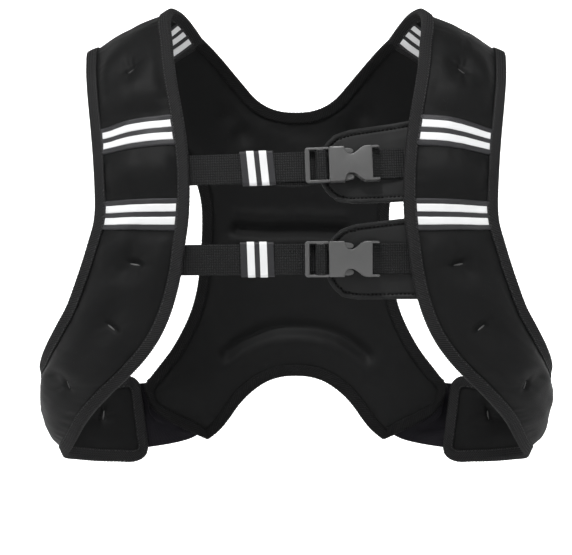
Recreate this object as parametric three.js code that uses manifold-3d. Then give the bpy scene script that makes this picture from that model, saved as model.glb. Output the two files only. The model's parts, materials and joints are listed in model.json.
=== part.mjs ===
// Weighted vest in neoprene, as it sits on a wearer.
// Two padded front panels run from the rear shoulder seams over the shoulders, down the chest and
// round the flanks. A padded back panel joins them at the seams, and an elastic joins each flank
// to a wing of the back panel. Two webbing straps with side-release buckles close the chest.
// Millimetres. +X is the wearer's left, -Y is the front, +Z is up. The origin lies in the middle
// plane, at the height of the underside of the shoulders.
import * as THREE from 'three';
import { mergeVertices } from 'three/addons/utils/BufferGeometryUtils.js';
import Module from 'manifold-3d';

const wasm = await Module();
wasm.setup();

// Driving dimensions of the body of the vest
const HEIGHT = 386;
const HALF_WIDTH = 220;
const FRONT_DEPTH = 106;
const BACK_DEPTH = 98;
const PANEL_WIDTH = 84;
const BACK_CURVE = 10;
const SHOULDER_ROLL = 36;
const NECK_DROP = 62;

// Padding and edges
const EDGE_THICKNESS = 4;
const OUTER_CROWN = 7;
const INNER_CROWN = 5;
const PAD_ROUND = 24;
const PANEL_CORNER = 12;
const BINDING_WIDTH = 8.5;
const BINDING_TAPE = 1.1;
const CLEARANCE = 0.35;
const WIDEST_MITRE = 1.5;

// Reflective bands
const BAND_WIDTH = 25;
const BAND_THICKNESS = 1;
const STRIPE_WIDTH = 6;
const STRIPE_PITCH = 10.2;
const STRIPE_THICKNESS = 0.5;
const SHOULDER_BAND_WIDTH = 33;
const SHOULDER_BAND_PLACE = 1;

// Chest straps, flaps and side elastics
const WEBBING_WIDTH = 25;
const WEBBING_THICKNESS = 1.6;
const SEWN_OVERLAP = 6;
const KEEPER_LENGTH = 27;
const KEEPER_THICKNESS = 1.2;
const KEEPER_PLACE = -31;
const TAIL_LENGTH = 62;
const FLAP_LENGTH = 70;
const FLAP_HEIGHT = 60;
const FLAP_CORNER = 26;
const FLAP_THICKNESS = 3.5;
const FLAP_RIM_SHARE = 0.55;
const ELASTIC_THICKNESS = 1.4;
const ELASTIC_GAP = 1.2;

// Side-release buckle
const BUCKLE_PLACE = 7;
const BUCKLE_WIDTH = 29;
const BUCKLE_THICKNESS = 9;
const BUCKLE_BAR = 3.2;
const SLOT_LENGTH = 7;
const ADJUSTER_BAR = 4;
const FRAME_THICKNESS = 4.6;
const BODY_LENGTH = 41;
const BODY_WALL = 1.6;
const ARM_WIDTH = 4;
const BAY_LENGTH = 18;
const BAY_DEPTH = 6;
const TAB_LENGTH = 8;
const HORN_LENGTH = 6;
const CUT_MARGIN = 1;
const CAVITY_LENGTH = 24.6;
const BAY_PLACE = 12.3;
const BAY_FLOOR = 8.1;
const BAY_EASE = 3.6;
const END_BAR = 3;
const END_BAR_PLACE = 11;

// Mesh steps
const ROW_STEP = 19;
const NECK_STEPS = 8;
const SEAM_STEPS = 4;
const SIDE_STEPS = 15;
const SETTLE_ROUNDS = 400;
const FLAP_ROWS = 10;
const FLAP_COLUMNS = 6;
const CURVE_STEPS = 5;
const SLOPE_STEP = 0.02;
const LENGTH_SAMPLES = 16;
const MERGE_DISTANCE = 1e-4;

// Mesh lines that follow the shape of the padding, as shares of PAD_ROUND from the binding, and
// those that follow the rounded corners, as shares of BINDING_WIDTH from the rear end
const PAD_LINES = [0.35, 0.85];
const PAD_END_LINE = 0.6;
const RING_PAD_LINE = 0.3;
const WIDEST_STEP = 0.85;
const CORNER_LINES = [1, 0.5, 0.15];
const CORNER_SPREAD = 0.08;
const SEAM_SPREAD = 0.1;

// Sections of a front panel from the rear shoulder seam to the rear edge at the flank. x, y and z
// are the middle of the section as shares of HALF_WIDTH, of FRONT_DEPTH or BACK_DEPTH, and of
// HEIGHT. ax, ay and az run from the neck-side edge to the arm-side edge, bow is how far the
// middle stands out, all as shares of PANEL_WIDTH. fill is the share of the full padding.
const PANEL_SECTIONS = [
  { x: 0.524, y: 0.475, z: -0.042, ax: 0.81, ay: -0.04, az: -0.54, bow: 0.01, fill: 0.5 },
  { x: 0.595, y: 0.276, z: 0.005, ax: 0.87, ay: -0.02, az: -0.5, bow: -0.01, fill: 0.55 },
  { x: 0.639, y: 0.041, z: 0.019, ax: 0.85, ay: 0, az: -0.45, bow: -0.02, fill: 0.6 },
  { x: 0.641, y: -0.198, z: -0.005, ax: 0.83, ay: 0.02, az: -0.4, bow: -0.01, fill: 0.65 },
  { x: 0.631, y: -0.425, z: -0.049, ax: 0.85, ay: 0.07, az: -0.33, bow: 0.02, fill: 0.85 },
  { x: 0.617, y: -0.632, z: -0.111, ax: 0.86, ay: 0.12, az: -0.26, bow: 0.03, fill: 1 },
  { x: 0.588, y: -0.797, z: -0.217, ax: 0.91, ay: 0.18, az: -0.13, bow: 0.03, fill: 0.75 },
  { x: 0.574, y: -0.868, z: -0.291, ax: 0.93, ay: 0.19, az: -0.06, bow: 0.03, fill: 0.95 },
  { x: 0.571, y: -0.91, z: -0.383, ax: 0.92, ay: 0.2, az: -0.03, bow: 0.03, fill: 0.75 },
  { x: 0.589, y: -0.915, z: -0.446, ax: 0.94, ay: 0.24, az: 0.04, bow: 0.03, fill: 0.95 },
  { x: 0.616, y: -0.896, z: -0.515, ax: 0.98, ay: 0.26, az: 0.1, bow: 0.04, fill: 1 },
  { x: 0.66, y: -0.858, z: -0.592, ax: 1.01, ay: 0.31, az: 0.1, bow: 0.06, fill: 1 },
  { x: 0.718, y: -0.774, z: -0.653, ax: 1, ay: 0.43, az: 0.15, bow: 0.08, fill: 1 },
  { x: 0.78, y: -0.642, z: -0.701, ax: 0.88, ay: 0.57, az: 0.22, bow: 0.1, fill: 1 },
  { x: 0.833, y: -0.462, z: -0.738, ax: 0.72, ay: 0.74, az: 0.3, bow: 0.11, fill: 1 },
  { x: 0.882, y: -0.226, z: -0.776, ax: 0.5, ay: 0.76, az: 0.47, bow: 0.12, fill: 1 },
  { x: 0.912, y: 0.061, z: -0.813, ax: 0.29, ay: 0.67, az: 0.69, bow: 0.12, fill: 0.95 },
  { x: 0.918, y: 0.367, z: -0.832, ax: 0.12, ay: 0.52, az: 0.77, bow: 0.1, fill: 0.9 },
  { x: 0.872, y: 0.643, z: -0.84, ax: -0.02, ay: 0.36, az: 0.8, bow: 0.07, fill: 0.9 },
  { x: 0.762, y: 0.857, z: -0.845, ax: -0.03, ay: 0.19, az: 0.86, bow: 0.04, fill: 0.9 },
  { x: 0.614, y: 0.98, z: -0.844, ax: 0.105, ay: 0.05, az: 0.91, bow: 0.01, fill: 0.8 },
];

// Stitched dimples of a front panel. along is a share of the panel's length, across a share of
// half its width, depth a share of the crown of its face and reach a share of PANEL_WIDTH.
const PANEL_DIMPLES = [
  { face: 'outer', along: 0.208, across: 0, depth: 0.8, reach: 0.16 },
  { face: 'outer', along: 0.48, across: 0, depth: 0.8, reach: 0.16 },
  { face: 'outer', along: 0.569, across: 0, depth: 0.8, reach: 0.16 },
  { face: 'outer', along: 0.68, across: 0.3, depth: 0.8, reach: 0.16 },
  { face: 'inner', along: 0.94, across: 0.05, depth: 0.8, reach: 0.2 },
];

// Places of the two reflective bands, as shares of the panel's length
const FRONT_BANDS = [
  { name: 'upper', along: 0.302 },
  { name: 'lower', along: 0.409 },
];

// Neck edge of the back panel from the middle to the seam. x is a share of the seam corner's x,
// z the share of the rise from the lowest point to the seam corner.
const NECK_POINTS = [
  { x: 0, z: 0 },
  { x: 0.14, z: 0.01 },
  { x: 0.27, z: 0.055 },
  { x: 0.42, z: 0.17 },
  { x: 0.58, z: 0.4 },
  { x: 0.76, z: 0.68 },
  { x: 0.9, z: 0.88 },
  { x: 1, z: 1 },
];

// Arm side of the back panel below the seam, as shares of HALF_WIDTH and HEIGHT
const SIDE_POINTS = [
  { x: 0.62, z: -0.145 },
  { x: 0.525, z: -0.2 },
  { x: 0.437, z: -0.262 },
  { x: 0.388, z: -0.31 },
  { x: 0.372, z: -0.357 },
  { x: 0.37, z: -0.408 },
  { x: 0.374, z: -0.458 },
  { x: 0.383, z: -0.517 },
  { x: 0.4, z: -0.573 },
  { x: 0.428, z: -0.618 },
  { x: 0.468, z: -0.664 },
  { x: 0.515, z: -0.706 },
  { x: 0.566, z: -0.742 },
  { x: 0.605, z: -0.771 },
];

// Slanted end of a wing, from its upper corner to its lower one, as shares of HALF_WIDTH, HEIGHT
const WING_POINTS = [
  { x: 0.608, z: -0.795 },
  { x: 0.57, z: -0.829 },
  { x: 0.48, z: -0.856 },
  { x: 0.39, z: -0.88 },
  { x: 0.355, z: -0.889 },
];

// Lower edge of the back panel from the wing to the middle, as shares of HALF_WIDTH and HEIGHT
const ARCH_POINTS = [
  { x: 0.32, z: -0.876 },
  { x: 0.272, z: -0.842 },
  { x: 0.227, z: -0.806 },
  { x: 0.165, z: -0.773 },
  { x: 0.097, z: -0.751 },
  { x: 0.04, z: -0.744 },
  { x: 0, z: -0.743 },
];

// Sewn channels and dimples of the back panel. Points are shares of HALF_WIDTH and HEIGHT, depth
// a share of the crown and reach a share of PANEL_WIDTH.
const BACK_CHANNELS = [
  {
    depth: 0.75,
    reach: 0.15,
    points: [
      { x: -0.29, z: -0.7 },
      { x: -0.2, z: -0.65 },
      { x: -0.1, z: -0.624 },
      { x: 0, z: -0.615 },
      { x: 0.1, z: -0.624 },
      { x: 0.2, z: -0.65 },
      { x: 0.29, z: -0.7 },
    ],
  },
  { depth: 0.75, reach: 0.15, points: [{ x: -0.22, z: -0.41 }, { x: 0.2, z: -0.41 }] },
  { depth: 0.6, reach: 0.18, points: [{ x: -0.24, z: -0.17 }, { x: -0.2, z: -0.2 }] },
  { depth: 0.6, reach: 0.18, points: [{ x: 0.24, z: -0.17 }, { x: 0.2, z: -0.2 }] },
];

// Chest straps. right and left are the strap's middle height at the two panel edges, and flapRise
// is how far the flap's middle stands above the strap's, all as shares of HEIGHT.
const CHEST_STRAPS = [
  { name: 'upper', right: -0.293, left: -0.277, flapRise: -0.003 },
  { name: 'lower', right: -0.485, left: -0.481, flapRise: -0.0085 },
];

// Rows of the side elastic from its lower edge to its upper one. along is a share of the front
// panel's rear end; edge and foot lie on the back panel, as shares of HALF_WIDTH and HEIGHT.
const ELASTIC_ROWS = [
  { along: 0.15, edgeX: 0.39, edgeZ: -0.88, footX: 0.374, footZ: -0.86 },
  { along: 0.38, edgeX: 0.48, edgeZ: -0.856, footX: 0.463, footZ: -0.836 },
  { along: 0.62, edgeX: 0.57, edgeZ: -0.829, footX: 0.545, footZ: -0.811 },
  { along: 0.93, edgeX: 0.577, edgeZ: -0.751, footX: 0.532, footZ: -0.746 },
];

const COLOURS = {
  neoprene: new THREE.MeshStandardMaterial({ color: 0x202123, roughness: 0.82, metalness: 0 }),
  binding: new THREE.MeshStandardMaterial({ color: 0x2a2b2d, roughness: 0.7, metalness: 0 }),
  webbing: new THREE.MeshStandardMaterial({ color: 0x26272a, roughness: 0.75, metalness: 0 }),
  band: new THREE.MeshStandardMaterial({ color: 0x4a4b50, roughness: 0.55, metalness: 0 }),
  stripe: new THREE.MeshStandardMaterial({ color: 0xe8e9ea, roughness: 0.4, metalness: 0 }),
  elastic: new THREE.MeshStandardMaterial({ color: 0x242329, roughness: 0.8, metalness: 0 }),
  plastic: new THREE.MeshStandardMaterial({ color: 0x66686a, roughness: 0.45, metalness: 0 }),
};

const FLANGE = EDGE_THICKNESS / 2;
const BINDING_HALF = FLANGE + CLEARANCE + BINDING_TAPE;
const BINDING_NOSE = CLEARANCE + BINDING_TAPE;

const v3 = (x, y, z) => new THREE.Vector3(x, y, z);
const clamp = THREE.MathUtils.clamp;
const lerp = THREE.MathUtils.lerp;

// Smooth curve through one column of a table, with t counted in rows
function smooth(rows, column, t) {
  const last = rows.length - 1;
  const i = Math.min(Math.floor(t), last - 1);
  const f = t - i;
  const a = rows[i][column];
  const b = rows[i + 1][column];
  const before = i > 0 ? rows[i - 1][column] : 2 * a - b;
  const after = i + 1 < last ? rows[i + 2][column] : 2 * b - a;
  const slopeA = (b - before) / 2;
  const slopeB = (after - a) / 2;
  const turn = 2 * (a - b) + slopeA + slopeB;
  const bend = 3 * (b - a) - 2 * slopeA - slopeB;
  return ((turn * f + bend) * f + slopeA) * f + a;
}

// Height of the padding, 0 at a bound edge and 1 in the middle of a pad
function crown(distance) {
  const q = clamp((distance - BINDING_WIDTH) / PAD_ROUND, 0, 1);
  return 1 - (1 - q) ** 2;
}

// Depth of a soft dent at a distance from its middle
const dent = (distance, reach) => Math.exp(-((distance / reach) ** 2));

// Distance from a point to a line of points, in the plane of x and z
function distanceToLine(x, z, points) {
  let best = Infinity;
  for (let i = 0; i + 1 < points.length; i += 1) {
    const a = points[i];
    const b = points[i + 1];
    const dx = b.x - a.x;
    const dz = b.z - a.z;
    const share = clamp(((x - a.x) * dx + (z - a.z) * dz) / (dx * dx + dz * dz), 0, 1);
    best = Math.min(best, Math.hypot(x - a.x - share * dx, z - a.z - share * dz));
  }
  return best;
}

// Closed geometry from points and triangles, turned so that its faces point out
function closedBody(points, triangles) {
  let volume = 0;
  for (const [a, b, c] of triangles) {
    volume += points[a].dot(points[b].clone().cross(points[c]));
  }
  const ordered = volume < 0 ? triangles.map(([a, b, c]) => [a, c, b]) : triangles;
  const geometry = new THREE.BufferGeometry();
  const positions = points.flatMap((p) => [p.x, p.y, p.z]);
  geometry.setAttribute('position', new THREE.Float32BufferAttribute(positions, 3));
  geometry.setIndex(ordered.flat());
  geometry.computeVertexNormals();
  return geometry;
}

// The same body on the other side of the middle plane
function mirrored(geometry) {
  const copy = geometry.clone();
  copy.scale(-1, 1, 1);
  const index = Array.from(copy.index.array);
  for (let i = 0; i < index.length; i += 3) {
    const held = index[i + 1];
    index[i + 1] = index[i + 2];
    index[i + 2] = held;
  }
  copy.setIndex(index);
  copy.computeVertexNormals();
  return copy;
}

// Closed sheet between two grids of points, front[i][j] and back[i][j]
function sheetBody(front, back) {
  const rows = front.length;
  const columns = front[0].length;
  const points = [...front.flat(), ...back.flat()];
  const f = (i, j) => i * columns + j;
  const b = (i, j) => rows * columns + f(i, j);
  const triangles = [];
  const quad = (p, q, r, s) => triangles.push([p, q, r], [p, r, s]);
  for (let i = 0; i + 1 < rows; i += 1) {
    for (let j = 0; j + 1 < columns; j += 1) {
      quad(f(i, j), f(i + 1, j), f(i + 1, j + 1), f(i, j + 1));
      quad(b(i, j), b(i, j + 1), b(i + 1, j + 1), b(i + 1, j));
    }
    quad(f(i, 0), b(i, 0), b(i + 1, 0), f(i + 1, 0));
    quad(f(i, columns - 1), f(i + 1, columns - 1), b(i + 1, columns - 1), b(i, columns - 1));
  }
  for (let j = 0; j + 1 < columns; j += 1) {
    quad(f(0, j), f(0, j + 1), b(0, j + 1), b(0, j));
    quad(f(rows - 1, j), b(rows - 1, j), b(rows - 1, j + 1), f(rows - 1, j + 1));
  }
  return closedBody(points, triangles);
}

// Tape folded round an edge. Each stop has the edge's node, the foot where the tape's legs end,
// and the unit vector out of the piece along its surface. The tape is cut square at both ends.
function bindingBody(stops) {
  const inside = FLANGE + CLEARANCE;
  const section = [
    { at: 'foot', out: 0, up: BINDING_HALF },
    { at: 'edge', out: BINDING_NOSE, up: BINDING_HALF },
    { at: 'edge', out: BINDING_NOSE, up: -BINDING_HALF },
    { at: 'foot', out: 0, up: -BINDING_HALF },
    { at: 'foot', out: 0, up: -inside },
    { at: 'edge', out: CLEARANCE, up: -inside },
    { at: 'edge', out: CLEARANCE, up: inside },
    { at: 'foot', out: 0, up: inside },
  ];
  const count = section.length;
  const points = [];
  const triangles = [];
  for (const stop of stops) {
    for (const { at, out, up } of section) {
      const node = stop[at];
      points.push(node.mid.clone().addScaledVector(stop.out, out).addScaledVector(node.normal, up));
    }
  }
  for (let i = 0; i + 1 < stops.length; i += 1) {
    for (let j = 0; j < count; j += 1) {
      const a = i * count + j;
      const b = i * count + ((j + 1) % count);
      const fromFoot = section[j].at === 'foot';
      if (fromFoot) triangles.push([a, b, a + count], [b, b + count, a + count]);
      else triangles.push([a, b, b + count], [a, b + count, a + count]);
    }
  }
  const flat = section.map(({ at, out, up }) => (
    new THREE.Vector2(at === 'foot' ? -BINDING_WIDTH : out, up)
  ));
  const caps = THREE.ShapeUtils.triangulateShape(flat, []);
  const end = (stops.length - 1) * count;
  for (const [a, b, c] of caps) {
    triangles.push([a, c, b], [a + end, b + end, c + end]);
  }
  return closedBody(points, orientedLike(points, triangles));
}

// Triangles of one closed surface, all turned the way their neighbours are
function orientedLike(points, triangles) {
  const edgeOwner = new Map();
  const key = (a, b) => `${Math.min(a, b)}_${Math.max(a, b)}`;
  triangles.forEach((triangle, n) => {
    for (let k = 0; k < 3; k += 1) {
      const name = key(triangle[k], triangle[(k + 1) % 3]);
      edgeOwner.set(name, [...(edgeOwner.get(name) ?? []), n]);
    }
  });
  const result = triangles.map((triangle) => [...triangle]);
  const seen = new Set([0]);
  const queue = [0];
  const runs = (triangle, a, b) => {
    const at = triangle.indexOf(a);
    return triangle[(at + 1) % 3] === b;
  };
  while (queue.length > 0) {
    const n = queue.pop();
    for (let k = 0; k < 3; k += 1) {
      const a = result[n][k];
      const b = result[n][(k + 1) % 3];
      for (const other of edgeOwner.get(key(a, b))) {
        if (seen.has(other)) continue;
        if (runs(result[other], a, b)) result[other].reverse();
        seen.add(other);
        queue.push(other);
      }
    }
  }
  return result;
}

// Middle surface of a front panel
const panelCentre = (t) => {
  const y = smooth(PANEL_SECTIONS, 'y', t);
  return v3(
    smooth(PANEL_SECTIONS, 'x', t) * HALF_WIDTH,
    y * (y < 0 ? FRONT_DEPTH : BACK_DEPTH),
    smooth(PANEL_SECTIONS, 'z', t) * HEIGHT,
  );
};

const panelAcross = (t) => v3(
  smooth(PANEL_SECTIONS, 'ax', t),
  smooth(PANEL_SECTIONS, 'ay', t),
  smooth(PANEL_SECTIONS, 'az', t),
).multiplyScalar(PANEL_WIDTH);

const SECTION_LAST = PANEL_SECTIONS.length - 1;

function panelOut(t) {
  const low = clamp(t - SLOPE_STEP, 0, SECTION_LAST);
  const high = clamp(t + SLOPE_STEP, 0, SECTION_LAST);
  const along = panelCentre(high).sub(panelCentre(low));
  return along.cross(panelAcross(t)).normalize();
}

function panelMid(t, u) {
  const bow = smooth(PANEL_SECTIONS, 'bow', t) * PANEL_WIDTH * (1 - u * u);
  return panelCentre(t).addScaledVector(panelAcross(t), u / 2).addScaledVector(panelOut(t), bow);
}

function panelNormal(t, u) {
  const low = clamp(t - SLOPE_STEP, 0, SECTION_LAST);
  const high = clamp(t + SLOPE_STEP, 0, SECTION_LAST);
  const along = panelMid(high, u).sub(panelMid(low, u));
  const across = panelMid(t, u + SLOPE_STEP).sub(panelMid(t, u - SLOPE_STEP));
  return along.cross(across).normalize();
}

// Length along the panel's middle, and the section number at a length
const lengthTable = [0];
for (let i = 1; i <= SECTION_LAST * LENGTH_SAMPLES; i += 1) {
  const step = panelCentre(i / LENGTH_SAMPLES).distanceTo(panelCentre((i - 1) / LENGTH_SAMPLES));
  lengthTable.push(lengthTable[i - 1] + step);
}
const PANEL_LENGTH = lengthTable[lengthTable.length - 1];

function sectionAt(length) {
  let i = 1;
  while (i < lengthTable.length - 1 && lengthTable[i] < length) i += 1;
  const share = (length - lengthTable[i - 1]) / (lengthTable[i] - lengthTable[i - 1]);
  return clamp((i - 1 + share) / LENGTH_SAMPLES, 0, SECTION_LAST);
}

// Lengths of a front panel's rows: the bands' edges, the rounded rear end, and even steps between
const rowsOfBand = (middle, width) => [middle - width / 2, middle, middle + width / 2];
const bandRows = FRONT_BANDS.flatMap((band) => rowsOfBand(band.along * PANEL_LENGTH, BAND_WIDTH));
const shoulderMiddle = SHOULDER_BAND_PLACE + SHOULDER_BAND_WIDTH / 2;
const shoulderRows = rowsOfBand(shoulderMiddle, SHOULDER_BAND_WIDTH);
const endRows = CORNER_LINES.map((share) => PANEL_LENGTH - share * BINDING_WIDTH);
const footRow = endRows[0];
const padEndRow = footRow - PAD_END_LINE * PAD_ROUND;

function panelRows() {
  const fixed = [0, ...shoulderRows, ...bandRows, padEndRow, ...endRows, PANEL_LENGTH];
  const rows = [...fixed];
  for (let i = 0; i + 1 < fixed.length; i += 1) {
    const span = fixed[i + 1] - fixed[i];
    const steps = Math.max(1, Math.round(span / ROW_STEP));
    for (let k = 1; k < steps; k += 1) rows.push(fixed[i] + (span * k) / steps);
  }
  return rows.sort((a, b) => a - b);
}

const ROWS = panelRows();
const EDGE_INSET = BINDING_NOSE;

// One row of a front panel: its points across, with the thickness on both faces
function panelRow(length) {
  const t = sectionAt(length);
  const full = panelAcross(t).length();
  const toEnd = PANEL_LENGTH - length;
  const inCorner = Math.max(0, PANEL_CORNER - toEnd);
  const corner = PANEL_CORNER - Math.sqrt(PANEL_CORNER ** 2 - inCorner ** 2);
  const half = full / 2 - EDGE_INSET - corner;
  const widest = Math.max(...PAD_LINES) * PAD_ROUND;
  const room = Math.min(1, (half * WIDEST_STEP - BINDING_WIDTH) / widest);
  const steps = [0, BINDING_WIDTH, ...PAD_LINES.map((share) => BINDING_WIDTH + share * PAD_ROUND * room)];
  const offsets = [...steps.map((s) => -half + s), 0, ...[...steps].reverse().map((s) => half - s)];
  const fill = smooth(PANEL_SECTIONS, 'fill', t);
  return offsets.map((offset) => {
    const u = offset / (full / 2);
    const point = panelMid(t, u);
    const normal = panelNormal(t, u);
    const side = half + corner - Math.abs(offset);
    const pad = crown(Math.min(side, toEnd)) * fill;
    const thickness = { outer: OUTER_CROWN * pad, inner: INNER_CROWN * pad };
    for (const dimple of PANEL_DIMPLES) {
      const dx = length - dimple.along * PANEL_LENGTH;
      const du = offset - (dimple.across * full) / 2;
      const reach = dimple.reach * PANEL_WIDTH;
      thickness[dimple.face] *= 1 - dimple.depth * dent(Math.hypot(dx, du), reach);
    }
    return {
      mid: point,
      normal,
      outer: point.clone().addScaledVector(normal, FLANGE + thickness.outer),
      inner: point.clone().addScaledVector(normal, -FLANGE - thickness.inner),
    };
  });
}

const panelGrid = ROWS.map(panelRow);
const LAST_COLUMN = panelGrid[0].length - 1;

function frontPanel() {
  const outer = panelGrid.map((row) => row.map((node) => node.outer));
  const inner = panelGrid.map((row) => row.map((node) => node.inner));
  return sheetBody(outer, inner);
}

// Binding of a front panel: down the neck side, round the rear end and up the arm side
function edgeStop(edge, foot) {
  const out = edge.mid.clone().sub(foot.mid);
  out.addScaledVector(edge.normal, -out.dot(edge.normal)).normalize();
  return { edge, foot, out };
}

// Foot of a stop at a rounded corner, just off the corner that the legs turn about
function cornerFoot(pivot, edge) {
  return { mid: pivot.mid.clone().lerp(edge.mid, CORNER_SPREAD), normal: pivot.normal };
}

function frontPanelBinding() {
  const last = panelGrid.length - 1;
  const foot = ROWS.indexOf(footRow);
  const stops = [];
  for (let i = 0; i <= foot; i += 1) stops.push(edgeStop(panelGrid[i][0], panelGrid[i][1]));
  const turn = (i, j, column) => {
    const edge = panelGrid[i][j];
    stops.push(edgeStop(edge, cornerFoot(panelGrid[foot][column], edge)));
  };
  for (let i = foot + 1; i <= last; i += 1) turn(i, 0, 1);
  for (let j = 1; j < LAST_COLUMN; j += 1) stops.push(edgeStop(panelGrid[last][j], endFoot(foot, j)));
  for (let i = last; i > foot; i -= 1) turn(i, LAST_COLUMN, LAST_COLUMN - 1);
  for (let i = foot; i >= 0; i -= 1) {
    stops.push(edgeStop(panelGrid[i][LAST_COLUMN], panelGrid[i][LAST_COLUMN - 1]));
  }
  return bindingBody(stops);
}

// Foot of a stop on the rear end, straight in from its edge along the row of the legs' ends
function endFoot(foot, j) {
  const edge = panelGrid[panelGrid.length - 1][j];
  const row = panelGrid[foot];
  const first = row[1].mid;
  const span = row[LAST_COLUMN - 1].mid.clone().sub(first);
  const shareOf = (point) => point.clone().sub(first).dot(span) / span.lengthSq();
  const shareAt = (column) => shareOf(row[column].mid);
  const share = clamp(shareOf(edge.mid), CORNER_SPREAD / 2, 1 - CORNER_SPREAD / 2);
  let k = 1;
  while (k < LAST_COLUMN - 2 && shareAt(k + 1) < share) k += 1;
  const part = (share - shareAt(k)) / (shareAt(k + 1) - shareAt(k));
  return {
    mid: row[k].mid.clone().lerp(row[k + 1].mid, part),
    normal: row[k].normal.clone().lerp(row[k + 1].normal, part).normalize(),
  };
}

// A row of points between two rows, pulled clear of the binding at both ends
function bandLine(grid, row, share, face, lift) {
  const low = grid[row];
  const high = grid[Math.min(row + 1, grid.length - 1)];
  const point = (j) => {
    const base = low[j][face].clone().lerp(high[j][face], share);
    const normal = low[j].normal.clone().lerp(high[j].normal, share).normalize();
    return base.addScaledVector(normal, face === 'outer' ? lift : -lift);
  };
  const line = [];
  for (let j = 1; j < LAST_COLUMN; j += 1) line.push(point(j));
  const inset = 2 * CLEARANCE;
  const pull = (end, next) => end.lerp(next, inset / end.distanceTo(next));
  pull(line[0], line[1]);
  pull(line[line.length - 1], line[line.length - 2]);
  return line;
}

// Row number and share at a length along a front panel
function rowAt(length) {
  let row = 0;
  while (row < ROWS.length - 2 && ROWS[row + 1] < length) row += 1;
  return { row, share: (length - ROWS[row]) / (ROWS[row + 1] - ROWS[row]) };
}

// Strip that lies across a front panel, between two lengths, on one face
function stripOnPanel(lengths, face, low, high) {
  const lines = (lift) => lengths.map((length) => {
    const { row, share } = rowAt(length);
    return bandLine(panelGrid, row, share, face, lift);
  });
  return sheetBody(lines(high), lines(low));
}

const bandBody = (rows, face) => stripOnPanel(rows, face, CLEARANCE, CLEARANCE + BAND_THICKNESS);

function stripeBody(middle, rows, face) {
  const edges = [middle - STRIPE_WIDTH / 2, middle + STRIPE_WIDTH / 2];
  const inner = rows.filter((length) => length > edges[0] && length < edges[1]);
  const base = 2 * CLEARANCE + BAND_THICKNESS;
  const lengths = [edges[0], ...inner, edges[1]];
  return stripOnPanel(lengths, face, base, base + STRIPE_THICKNESS);
}

// Back panel. Its middle surface is a depth for each x and z.
const seamNeck = panelMid(0, -1 + (2 * EDGE_INSET) / panelAcross(0).length());
const seamArm = panelMid(0, 1 - (2 * EDGE_INSET) / panelAcross(0).length());
const seamSlope = (seamArm.z - seamNeck.z) / (seamArm.x - seamNeck.x);

function backDepth(x, z) {
  const side = Math.abs(x);
  const full = BACK_DEPTH - BACK_CURVE * (side / HALF_WIDTH) ** 2;
  const share = clamp((side - seamNeck.x) / (seamArm.x - seamNeck.x), 0, 1);
  const atSeam = lerp(seamNeck.y, seamArm.y, share);
  const below = Math.max(0, seamNeck.z + seamSlope * (side - seamNeck.x) - z);
  return full - (full - atSeam) * Math.exp(-below / SHOULDER_ROLL);
}

function backNormal(x, z) {
  const step = 1;
  const dx = (backDepth(x + step, z) - backDepth(x - step, z)) / (2 * step);
  const dz = (backDepth(x, z + step) - backDepth(x, z - step)) / (2 * step);
  return v3(-dx, 1, -dz).normalize();
}

// Points spread evenly over a smooth line through the given ones, in the plane of x and z
function spread(points, steps) {
  const curve = new THREE.CatmullRomCurve3(points.map((p) => v3(p.x, 0, p.z)), false, 'centripetal');
  return curve.getSpacedPoints(steps).map((p) => ({ x: p.x, z: p.z }));
}

const scaled = (points) => points.map((p) => ({ x: p.x * HALF_WIDTH, z: p.z * HEIGHT }));

// Half outline of the bound back panel, from the middle of the neck to the middle of the arch
const neckCorner = { x: seamNeck.x, z: seamNeck.z };
const neckLow = neckCorner.z - NECK_DROP;
const neckLine = NECK_POINTS.map((p) => ({
  x: p.x * neckCorner.x,
  z: neckLow + p.z * NECK_DROP,
}));
const armCorner = { x: seamArm.x, z: seamArm.z };
const seamLine = [neckCorner, armCorner].map((p) => ({ x: p.x, z: p.z - CLEARANCE }));
const sidePoints = scaled(SIDE_POINTS);
const wingPoints = scaled(WING_POINTS);
const archPoints = scaled(ARCH_POINTS);
const wingTop = sidePoints[sidePoints.length - 1];
const wingLow = wingPoints[wingPoints.length - 1];

const halfOutline = [
  ...spread([...neckLine.slice(0, -1), seamLine[0]], NECK_STEPS),
  ...spread(seamLine, SEAM_STEPS).slice(1),
  ...spread([seamLine[1], ...sidePoints], SIDE_STEPS).slice(1),
  ...spread([wingTop, ...wingPoints], SEAM_STEPS).slice(1),
  ...spread([wingLow, ...archPoints], NECK_STEPS).slice(1),
];

const flip = (p) => ({ x: -p.x, z: p.z });
const outline = [...halfOutline, ...halfOutline.slice(1, -1).reverse().map(flip)];
const RING = outline.length;

// The outline moved inwards by a distance, square to its edge
function insetRing(distance) {
  return outline.map((p, n) => {
    const before = outline[(n + RING - 1) % RING];
    const after = outline[(n + 1) % RING];
    const a = new THREE.Vector2(p.x - before.x, p.z - before.z).normalize();
    const b = new THREE.Vector2(after.x - p.x, after.z - p.z).normalize();
    const mean = a.clone().add(b).normalize();
    const widen = Math.min(1 / mean.dot(a), WIDEST_MITRE);
    return { x: p.x + mean.y * distance * widen, z: p.z - mean.x * distance * widen };
  });
}

const halfCount = halfOutline.length;
const TOP_STEPS = NECK_STEPS + SEAM_STEPS;
const COLUMNS = 2 * TOP_STEPS;

// Index on the ring of a place on the border of the inner grid
function ringIndex(i, j) {
  if (j === 0) return (i - TOP_STEPS + RING) % RING;
  if (i === COLUMNS) return TOP_STEPS + j;
  if (j === SIDE_STEPS) return TOP_STEPS + SIDE_STEPS + (COLUMNS - i);
  return RING - TOP_STEPS - j;
}

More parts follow.
